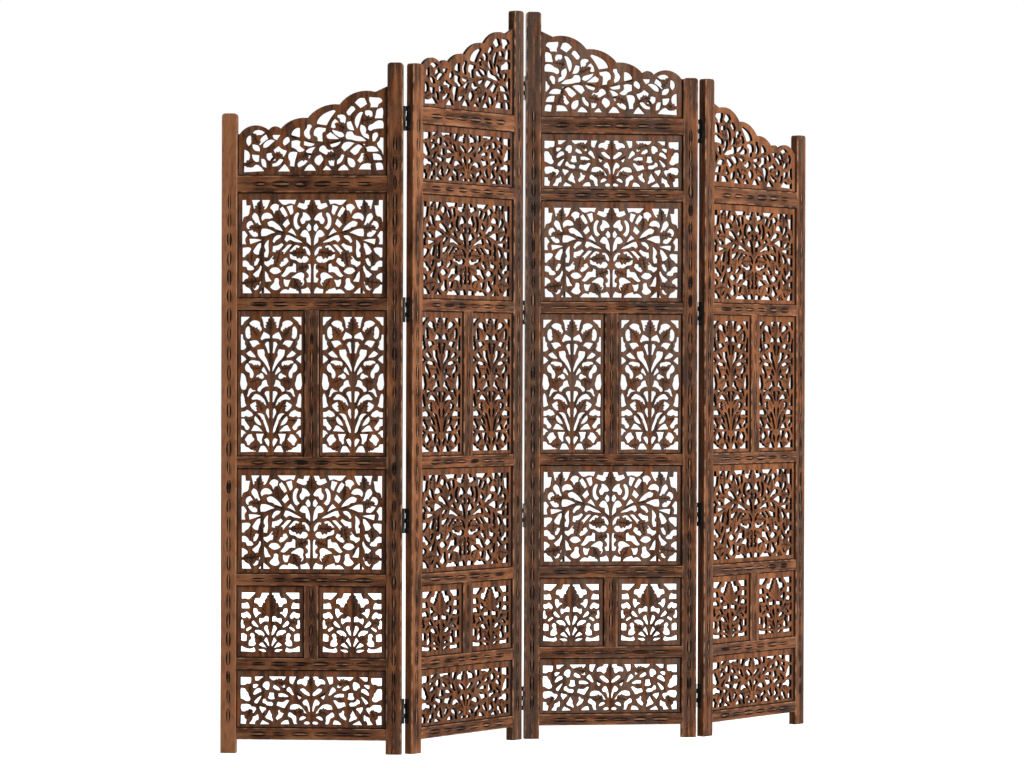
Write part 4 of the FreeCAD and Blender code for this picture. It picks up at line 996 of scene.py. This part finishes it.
# Crests.
# A scalloped board of the same hardwood stands in the groove of each crest rail, between the posts, and climbs towards
# the middle fold. Its openings are given from the tall end, which leaves one and two have at the right.
crest_low, crest_high, crest_drawn_height = 0.091, 0.196, 0.210
crest_openings = """
3.7 77.8, 5.1 80.4, 8.1 81, 12.2 81.5, 12.1 77.8, 11.2 74.6, 11.4 71.4, 6.8 71.4, 6.1 74.6, 4.1 76.7
13.9 74.6, 15.6 80.4, 18.6 80.4, 21.7 76.2, 19.6 73, 18 70.6, 15.9 72.5
21.7 68.8, 22.7 71.4, 24.1 72.3, 25.7 69.8, 27.4 66.1, 26.4 63.5, 25.1 63, 23.4 66.1
3.4 69.3, 4.1 70.4, 7.1 68.3, 7.8 64, 8.5 60, 3.5 60
10.5 66.1, 12.2 67.7, 14.9 67.4, 14.8 64, 13.6 62.4, 12.2 60.6, 10.5 60.8
16.6 65.6, 18 66.1, 20.3 63, 21.7 58.2, 21.5 53.4, 20.3 49.4, 19.3 53.4, 18.6 57.1, 17.8 61.4
28.1 57.7, 28.1 60.8, 29.8 63.2, 33.2 63, 33.5 61.4, 31.8 59.3, 31.5 56.1, 30.1 53.4, 28.5 55
34.9 66.7, 35.9 68.3, 40 66.1, 44 62.4, 46.7 57.1, 47.1 54.5, 44.7 53.7, 40.7 52.9, 39.3 57.1, 37.3 61.9
32.5 54.5, 33.5 56.6, 35.2 58.7, 36.9 55.6, 37.6 50.8, 35.9 49.7, 34.6 50.8, 34.2 52.9
3 49.7, 3 55, 4.1 57.1, 7.5 56.6, 9.8 54, 12.5 51.9, 12.9 48.7, 11.5 47.1, 9.1 48.7
14.6 49.2, 16.3 51.9, 17.8 52.9, 18.3 49.2, 17.6 45, 16.3 41.8, 13.6 39.2, 12.5 38.6, 12.9 42.3, 14.9 43.9
22.4 47.6, 23.4 51.9, 24.7 56.6, 27.1 55.6, 26.8 50.8, 25.1 48.1
6.8 43.9, 8.1 44.8, 9.8 42.9, 9.8 36, 8.5 36.5, 7.5 39.2, 6.6 41.3
14.6 36.5, 17.6 40.2, 22.4 42.3, 23.7 45.5, 27.1 45.5, 27.9 40.7, 27.1 38.6, 22.4 37, 17.6 36.3
29.1 41.3, 29.8 43.9, 33.2 46, 36.9 47.6, 36.2 45.5, 33.9 42.3, 31.2 40.2
32.9 38.6, 35.9 42.3, 38.3 45, 40.7 42.3, 40 39.5, 36.6 38.6
41.3 49.2, 43.4 49.7, 47.4 49.7, 49.1 46, 49.1 42.3, 47.1 40.7, 46.4 36.5, 43.4 36, 43.7 40.7, 43.4 45,
41.7 46.6
50.8 51.3, 51.5 52.9, 53.5 52.9, 53.9 49.7, 55.6 46, 55.2 41.8, 52.2 38.4, 51.5 39.7, 52.2 43.9, 51.8 48.1
58.6 49.2, 60 49.7, 63.7 45, 64 40.7, 62.3 39.9, 58.6 40.7
3 39.2, 4.7 39.7, 5.4 36.5, 7.1 33.9, 6.1 30.2, 4.1 27, 3 22.8, 3 31.2
6.1 25.9, 7.8 29.1, 10.8 30.7, 14.9 29.1, 15 26.1, 11.5 25.4, 8.1 25.4
15.2 32.8, 19 32.8, 22.4 29.6, 24.9 25.9, 22 21.9, 20.3 23.3, 18 28.6
22.4 33.9, 24.4 34.9, 29.1 33.9, 30.8 29.6, 28.5 25.7, 26.1 28.6
31.2 35.4, 33.9 36, 37.3 34.9, 38.1 31.7, 36.9 29.9, 33.5 31.7
35.9 22.8, 36.9 27, 40 27, 42 30.7, 43.7 31.2, 46.1 27, 43.4 24.3, 40 21.7, 36.9 20.8
48.8 33.3, 51.5 35.4, 55.6 36, 55.7 32.3, 52.8 31.2, 49.8 31.7
55.6 27, 58.6 31.2, 58.3 35.4, 60.3 36.7, 64 36, 64 30.2, 61 28, 59.6 25.7, 56.9 25.4
48.4 29.6, 50.5 29.3, 53.5 27, 54.7 24.3, 54.2 21.7, 52.2 18.3, 51.2 21.7, 50.1 25.9
65.4 36.5, 66.4 40.2, 67.8 39.7, 69.8 34.9, 68.8 31.7, 66.7 33.9
71.8 42.3, 76.6 42.3, 75.9 39.2, 73.8 37.6
75.5 36.5, 78.3 37.4, 82.7 32.8, 82.8 29.6, 80.6 29.9, 77.9 33.3
79.9 38.6, 81.3 42.9, 83.7 40.2, 85.4 37.6, 86.4 33.9, 85 32.3, 82.3 36
82.3 45, 84.7 47.1, 88.8 46.6, 90.1 43.9, 88.8 41.8, 86 42.9, 84.3 42.9
91.1 37.6, 91.5 41.8, 93.2 40.7, 94.2 35.4, 92.8 31.2, 91.5 33.3
85.4 25.9, 85.7 29.6, 88.1 32.3, 90.2 32.3, 89.8 29.1, 88.1 26.5
92.5 23.8, 95.5 27, 95.7 14.3, 94.2 13.8, 92.5 16.9
85.7 21.2, 90.4 21.9, 89.8 18, 87.4 14.8, 86 15.3
74.9 16.4, 76.2 21.2, 78.3 23.6, 80.6 22.8, 80.3 18, 77.9 15.9
81 9, 81.3 14.3, 82.3 16.9, 84.3 17.5, 84 13.2, 83 10.1
82.7 5.3, 85.7 10.1, 88.1 11.3, 89.8 9, 93.5 8.8, 95.5 10.1, 95.7 4.2, 88.1 4.8
67.4 25.9, 70.5 27.5, 72.8 30.7, 75.9 27, 75.2 24.3, 71.8 24.3, 71.1 21.7, 69.8 19.6, 68.4 22.2
69.4 17.5, 71.8 17.5, 74.2 13.8, 76.9 12.2, 76.6 10.1, 73.5 10.6, 71.1 13.2
65.4 5, 66.7 8.5, 68.8 12, 70.5 9, 72.8 5
61.3 18.5, 60.3 24.3, 63 24.9, 65.4 23.8, 66.1 19, 65 15.3, 65 10.6, 62.3 10.1, 62 14.3
53.5 15.3, 54.9 16.4, 57.9 15.3, 60 12.2, 60 9, 57.6 10.1, 54.9 12.7
48 5.8, 49.5 9.5, 51.2 12, 53.2 10.6, 55.4 5.8
43 17.5, 44.7 21.7, 46.7 20.6, 48.6 16.9, 47.8 13.2, 45.7 11.1, 44 14.3
37.9 6.3, 39.3 8.8, 41 10.3, 43 6.3
35.6 16.4, 36.9 17.5, 39.3 15.3, 38.3 11.6, 35.9 10.6
29.1 21.2, 30.5 22.2, 31.8 18.5, 33.5 15.9, 33.5 12.2, 31.2 14.3, 29.8 17.5
26.1 6.3, 27.1 9, 29.1 11.6, 31.5 9, 32.9 6
22 10.1, 22 14.8, 23.7 17.5, 26.4 18.7, 26.4 14.3, 25.1 10.6, 23 9.2
15.9 18.5, 15.6 23.3, 17.3 23.3, 18.6 19, 20 16.4, 18.3 13.8, 16.6 15.9
10.5 14.3, 12.2 13.2, 16.9 11.6, 19 7.1, 11.2 6.9, 11.5 10.6
3.7 16.9, 5.1 21.2, 7.5 22.8, 9.8 23, 9.1 16.4
3 6.9, 3.4 11.1, 4.4 13.2, 7.8 13, 7.5 9.5, 7.1 6.3
"""
crest_leaves = """
17 57, 9 59
28 49, 35 54
15 24, 11 13
70 20, 77 22
86 33, 90 44
95 11, 89 15
53 23, 60 17
34 22, 42 19
"""
crest_stems = """
2 15, 10 15.5, 14 17, 14 24, 16 31, 20 34.5, 30 37, 42 33, 47 34, 56 37.5, 66 42
58 5, 60 8, 61 14, 57 22, 47 24, 47 32
78 6, 78 14, 74 20, 67 16
"""
# The scallops from the low end as (share across, share of the climb): each runs from a cusp over its crown to the next
cusps = [(0.012, 0.010), (0.207, 0.094), (0.288, 0.123), (0.467, 0.342), (0.680, 0.622), (0.918, 0.880)]
crowns = [(0.114, 0.190), (0.247, 0.168), (0.360, 0.290), (0.548, 0.548), (0.762, 0.836)]
lobe_steps = 9
# How far below the top of the board the painted corner shade stops, at the low end and at the high end
low_end_clear, high_end_clear = 0.001, 0.003


def lobe_arc(start, middle, finish):
    """Places along the circle through three places, the start left out."""
    (ax, ay), (bx, by), (cx, cy) = start, middle, finish
    spread = 2 * (ax * (by - cy) + bx * (cy - ay) + cx * (ay - by))
    squares = [x * x + y * y for x, y in (start, middle, finish)]
    ox = (squares[0] * (by - cy) + squares[1] * (cy - ay) + squares[2] * (ay - by)) / spread
    oy = (squares[0] * (cx - bx) + squares[1] * (ax - cx) + squares[2] * (bx - ax)) / spread
    radius = math.hypot(ax - ox, ay - oy)
    first, last = math.atan2(ay - oy, ax - ox), math.atan2(cy - oy, cx - ox)
    sweep = (last - first) % (-2 * math.pi)
    turns = [first + sweep * i / lobe_steps for i in range(1, lobe_steps + 1)]
    return [(ox + radius * math.cos(turn), oy + radius * math.sin(turn)) for turn in turns]


def crest_outline():
    """The crest's edge about its middle, low end at the left."""
    def at(share):
        return ((share[0] - 0.5) * opening_width, crest_low + share[1] * (crest_high - crest_low))

    edge = half_opening + fret_tuck
    top = [(-edge, crest_low), (-half_opening, crest_low), at(cusps[0])]
    for start, crown, finish in zip(cusps, crowns, cusps[1:]):
        top += lobe_arc(at(start), at(crown), at(finish))
    top += [(half_opening, crest_high), (edge, crest_high)]
    return [(-edge, -fret_tuck)] + top + [(edge, -fret_tuck)]


def crest_board(tall_at_right, seed):
    hand = -1 if tall_at_right else 1
    openings, leaves, stems = (read_rows(text, hand * opening_width, crest_drawn_height, -hand * half_opening)
                               for text in (crest_openings, crest_leaves, crest_stems))
    board = pierced_board([(-hand * u, v) for u, v in crest_outline()], openings, **wide_cut)
    ends = (crest_low - low_end_clear, crest_high - high_end_clear)[::-hand]

    def foot_and_ends(grow):
        x = half_opening + grow
        return [(-x, ends[0]), (-x, -grow), (x, -grow), (x, ends[1])]

    # Painted shade along the corners where the crest meets its rail and posts
    shade_strip = painted_corner_shade(foot_and_ends(0), foot_and_ends(-shade_width), False)
    return carved_board("crest_board", board, leaves, stems, [shade_strip], seed)


rising, falling = crest_board(True, 5), crest_board(False, 6)
for leaf in leaf_numbers:
    foot = (inner_crest_rail_foot if leaf in inner_leaves else outer_crest_rail_foot) + crest_rail_height
    hang(leaf, "crest_fret", rising if leaf < 3 else falling, [leaf_middle], foot)
bpy.data.objects.remove(leaf_form)
bpy.data.objects.remove(stem_section)

# Hinges.
# Four black-lacquered steel butt hinges join each pair of leaves: two pressed plates laid on the post edges,
# rolled into five knuckles round a pin, and screwed with slotted countersunk screws.
# The plate with three knuckles changes sides from hinge to hinge.
hinge_height, knuckle_radius, pin_out, fold_gap = 0.054, 0.0024, 0.012, 0.005
plate_thickness, plate_near, plate_far = 0.0012, 0.0031, 0.015
plate_ease, plate_corner = 0.00025, 0.002
plate_back, plate_front = -fold_gap / 2, -fold_gap / 2 + plate_thickness
hinge_levels = (0.093, 0.508, 0.968)
top_hinge_levels = {1: 1.385, 2: 1.476, 3: 1.385}
pin_faces = {1: 1, 2: -1, 3: 1}
pin_radius, pin_tip_radius, pin_proud, pin_tip, pin_sides = 0.0011, 0.0008, 0.0002, 0.0006, 14
knuckles, knuckle_gap, knuckle_ease, knuckle_sides = 5, 0.0003, 0.0003, 20
strap_bed, strap_lap, strap_end = 0.0001, 0.0004, 0.0006
screw_heights, screw_in = (-0.019, 0.0, 0.019), 0.0005
screw_line = -(plate_near + plate_far) / 2 - screw_in
head_radius, head_lift, head_depth, head_sides = 0.0023, 0.00012, 0.0006, 16
slot_half, slot_depth, slot_end, head_rub = 0.00035, 0.0005, 0.985, 0.97
# How far the steel is rubbed: on an arris, on a plain face, under a plate
arris_rub, face_rub, under_rub = 1.0, 0.6, 0.3


def black_steel(name, colour, rough, chip):
    """Black lacquer on steel: cloudy gloss, bright rubs and a little dust."""
    bare_steel, pale_dust, steel_dust = (0.22, 0.20, 0.18), (0.2, 0.18, 0.16), 0.3
    mottle_pale, mottle_dull, mottle_strength, mottle_depth = 2.1, 0.22, 0.12, 0.0004
    bare_metal, coated_metal = 0.6, 0.25
    finish, tree, coat = new_finish(name)
    where = out(wire(tree, "ShaderNodeTexCoord"), "Object")
    lightened = placed_group(tree, wear_and_painted_highlight, where, held_on(tree, "edge"), chip)["Wear_and_highlight"]
    dust = placed_group(tree, settled_dust, where, steel_dust)["Dust"]
    mottle = cloud(tree, where, scale=240, detail=4)
    base = blend_colour(tree, mottle, colour, [mottle_pale * part for part in colour])
    base = blend_colour(tree, lightened, base, bare_steel)
    tree.links.new(blend_colour(tree, dust, base, pale_dust), coat["Base Color"])
    tree.links.new(calc(tree, "MULTIPLY_ADD", mottle, mottle_dull, rough), coat["Roughness"])
    tree.links.new(calc(tree, "MULTIPLY_ADD", lightened, bare_metal, coated_metal), coat["Metallic"])
    tree.links.new(out(wire(tree, "ShaderNodeBump", mottle_strength, mottle_depth, None, mottle)), coat["Normal"])
    return finish


hinge_steel = black_steel("black_hinge_steel", colour=(0.012, 0.011, 0.010), rough=0.3, chip=0.9)


def lathe(points, sides):
    """A turned shape round the z axis from (radius, height) places, closed at both ends."""
    turns = [2 * math.pi * i / sides for i in range(sides)]
    rub = [face_rub] + [arris_rub] * (len(points) - 2) + [face_rub]
    return new_mesh("turned", [(r * math.cos(a), r * math.sin(a), z) for r, z in points for a in turns],
                    skin(len(points), sides), edge=np.repeat(rub, sides))


# Knuckles and screw heads: one shape set at each point, turned the way the point says
set_in_row, given, end = new_tree("set_in_row", "GeometryNodeTree",
                                  dict(Points="Geometry", Shape="Object", Turn="Float", Seed="Int", Stain="Material"),
                                  dict(Row="Geometry"))
t, full_turn = set_in_row, 6.28
spin = out(wire(t, "ShaderNodeCombineXYZ", 0.0, 0.0, uneven(t, 0.0, full_turn, None, given["Seed"])))
tip = out(wire(t, "ShaderNodeCombineXYZ", 0.0, given["Turn"], 0.0))
spun, tipped = (out(wire(t, "FunctionNodeEulerToRotation", turns)) for turns in (spin, tip))
facing = out(wire(t, "FunctionNodeRotateRotation", tipped, spun, rotation_space="LOCAL"))
shape = out(wire(t, "GeometryNodeObjectInfo", given["Shape"], transform_space="ORIGINAL"), "Geometry")
spots = out(wire(t, "GeometryNodeMeshToPoints", given["Points"]))
row = out(wire(t, "GeometryNodeInstanceOnPoints", spots, True, shape, None, None, facing))
close_tree(t, row, given["Stain"], end)


def set_row(places, mesh, turn, seed):
    """Copies of a shape at each place."""
    thing = stand("set_shape", mesh)
    made = shaped(set_in_row, new_mesh("spots", places, []), shape=thing, turn=turn, seed=seed, stain=hinge_steel)
    bpy.data.objects.remove(thing)
    return made


def slotted_head():
    """A countersunk screw head: a shallow cone with a slot sunk across it."""
    turns = np.linspace(0, 2 * math.pi, head_sides, endpoint=False)
    ring = [(head_radius * math.cos(a), head_radius * math.sin(a)) for a in turns]
    points, faces = [], []
    for side in (1, -1):
        arc = sorted([p for p in ring if side * p[1] > slot_half], key=lambda p: -side * p[0])
        line = [(side * head_radius * slot_end, side * slot_half), *arc,
                (-side * head_radius * slot_end, side * slot_half)]
        first, n = len(points), len(line)
        points += [(x, y, head_lift) for x, y in line] + [(x, y, -head_depth) for x, y in line]
        faces.append(tuple(range(first, first + n)))
        faces += [(first + i, first + n + i, first + n + (i + 1) % n, first + (i + 1) % n) for i in range(n)]
    first = len(points)
    points += [(x * head_radius, y * slot_half, -slot_depth) for x, y in ((-1, -1), (1, -1), (1, 1), (-1, 1))]
    faces.append((first, first + 1, first + 2, first + 3))
    return new_mesh("slotted_head", points, faces, edge=[head_rub] * first + [0.0] * 4)


def pressed_plate():
    """A hinge plate at -x of its pin with eased edges, reaching in towards -y."""
    z, middle = hinge_height / 2, (-plate_near - plate_far) / 2
    face = [(-plate_near, -z), (-plate_near, z), (-plate_far + plate_corner, z), (-plate_far, z - plate_corner),
            (-plate_far, -z + plate_corner), (-plate_far + plate_corner, -z)]
    inset = [(y + math.copysign(plate_ease, middle - y), v - math.copysign(plate_ease, v)) for y, v in face]
    rings = ((plate_back, face, under_rub), (plate_front - plate_ease, face, arris_rub),
             (plate_front, inset, face_rub))
    return new_mesh("pressed_plate", [(x, y, v) for x, ring, rub in rings for y, v in ring],
                    [f[::-1] for f in skin(len(rings), len(face))],
                    edge=np.repeat([rub for x, ring, rub in rings], len(face)))


def hinge_leaf(own, seed):
    """A plate, its own rolled knuckles about the pin on the z axis, the strap from plate to knuckle, and its screws."""
    pitch = hinge_height / knuckles
    half = pitch / 2 - knuckle_gap / 2
    barrel = lathe([(knuckle_radius - knuckle_ease, -half), (knuckle_radius, -half + knuckle_ease),
                    (knuckle_radius, half - knuckle_ease), (knuckle_radius - knuckle_ease, half)], knuckle_sides)
    levels = [(i - (own - 1) / 2) * 2 * pitch for i in range(own)]
    x0, x1, y0, y1 = plate_back + strap_bed, plate_front, -plate_near - strap_lap, -strap_end
    points, faces = [], []
    for level in levels:
        faces += [tuple(len(points) + i for i in f) for f in skin(2, 4)]
        points += [(x, y, level + v) for v in (-half, half) for x, y in ((x0, y0), (x1, y0), (x1, y1), (x0, y1))]
    strap = new_mesh("strap", points, faces)
    screws = [(plate_front, screw_line, z) for z in screw_heights]
    return [set_row([(0, 0, z) for z in levels], barrel, 0.0, seed), pressed_plate(), strap,
            set_row(screws, slotted_head(), math.pi / 2, seed + 5)]


hinge_leaves = {own: hinge_leaf(own, own) for own in (3, 2)}
pin_end = hinge_height / 2
pin_rod = lathe([(pin_tip_radius, -pin_end - pin_tip), (pin_radius, -pin_end - pin_proud),
                 (pin_radius, pin_end + pin_proud), (pin_tip_radius, pin_end + pin_tip)], pin_sides)


def hinge_place(leaf, at_right_edge, face, level):
    flip = Matrix.Identity(4) if at_right_edge else Matrix.Rotation(math.pi, 4, "Y")
    if face < 0:
        flip = Matrix.Rotation(math.pi, 4, "X") @ flip
    x = leaf_width + fold_gap / 2 if at_right_edge else -fold_gap / 2
    return leaf_place(leaf, x, face * pin_out, level) @ flip


for fold in (1, 2, 3):
    levels = hinge_levels + (top_hinge_levels[fold],)
    for hand, leaf, at_right_edge, shift in (("left", fold, True, 0), ("right", fold + 1, False, 1)):
        plates = []
        for i, level in enumerate(levels):
            where = hinge_place(leaf, at_right_edge, pin_faces[fold], level)
            plates += [(mesh, where) for mesh in hinge_leaves[3 if (i + shift) % 2 == 0 else 2]]
        fit(leaf, f"fold_{fold}_{hand}_hinge_plates", "rolled", plates, "black_hinge_steel")
    pins = [(pin_rod, hinge_place(fold, True, pin_faces[fold], level)) for level in levels]
    fit(fold, f"fold_{fold}_hinge_pins", "turned", pins, "black_hinge_steel")

# The studio: a pale sweep of floor, a soft key from the right, a high front lamp, one for the back and a long lens.
# Nothing here belongs to the screen.
floor_half, paper_grey, paper_pale, paper_roughness = 40.0, (0.86, 0.86, 0.86), (0.9, 0.9, 0.9), 0.9
glow_near, glow_far, near_reach, far_reach = 0.74, 0.96, 1.0, 4.0
sky_fill, sky_seen, plain_white = 0.16, 1.0, (1.0, 1.0, 1.0, 1)
floor_corners = [(x * floor_half, y * floor_half, 0) for x, y in ((-1, -1), (1, -1), (1, 1), (-1, 1))]
floor_mesh = new_mesh("pale_floor", floor_corners, [(0, 1, 2, 3)])
pale_floor = stand("pale_floor", floor_mesh)
paper, tree, sheet = new_finish("pale_paper")
where = out(wire(tree, "ShaderNodeTexCoord"), "Object")
tone = blend_colour(tree, cloud(tree, where, scale=1.4, detail=4), paper_grey, paper_pale)
tree.links.new(tone, sheet["Base Color"])
sheet["Roughness"].default_value = paper_roughness
sheet["Emission Color"].default_value = plain_white
lit = out(wire(tree, "ShaderNodeLightPath"), "Is Camera Ray")
far_off = out(wire(tree, "ShaderNodeVectorMath", where, operation="LENGTH"), "Value")
glow = product(tree, lit, between(tree, far_off, near_reach, far_reach, glow_near, glow_far))
tree.links.new(glow, sheet["Emission Strength"])
floor_mesh.materials.append(paper)

sky = bpy.data.worlds.new("studio")
sky.use_nodes = True
backdrop = sky.node_tree.nodes["Background"].inputs
backdrop["Color"].default_value = plain_white
seen = out(wire(sky.node_tree, "ShaderNodeLightPath"), "Is Camera Ray")
sky.node_tree.links.new(between(sky.node_tree, seen, 0.0, 1.0, sky_fill, sky_seen), backdrop["Strength"])
bpy.context.scene.world = sky


def soft_lamp(name, place, aim_height, size, power, colour):
    lamp = bpy.data.lights.new(name, "AREA")
    lamp.shape, lamp.size, lamp.energy, lamp.color = "DISK", size, power, colour
    thing = stand(name, lamp)
    thing.location = place
    thing.rotation_euler = (Vector((0, 0, aim_height)) - Vector(place)).to_track_quat("-Z", "Y").to_euler()


soft_lamp("key", place=(5.2, -3.4, 2.6), aim_height=0.9, size=3.0, power=150, colour=(1.0, 0.96, 0.91))
soft_lamp("front", place=(2.4, -5.7, 4.4), aim_height=0.8, size=2.0, power=420, colour=(1.0, 0.98, 0.96))
soft_lamp("back", place=(-1.5, 6.4, 2.8), aim_height=0.9, size=3.0, power=330, colour=(1.0, 0.98, 0.96))

camera_data = bpy.data.cameras.new("camera")
camera_data.sensor_width, camera_data.sensor_fit = 36.0, "HORIZONTAL"
camera_data.lens, camera_data.clip_end = 121.23, 200.0
camera = stand("camera", camera_data)
camera_place = (-3.52848, -6.92413, 0.83853)
yaw, tilt, roll = math.radians(26.479), math.radians(-0.241), math.radians(0.171)
ahead = Vector((math.sin(yaw) * math.cos(tilt), math.cos(yaw) * math.cos(tilt), math.sin(tilt)))
right = Vector((math.cos(yaw), -math.sin(yaw), 0))
up = right.cross(ahead)
right, up = math.cos(roll) * right + math.sin(roll) * up, math.cos(roll) * up - math.sin(roll) * right
turn = Matrix((right, up, -ahead)).transposed().to_4x4()
camera.matrix_world = Matrix.Translation(camera_place) @ turn
bpy.context.scene.camera = camera
bpy.context.scene.view_settings.view_transform = "Standard"
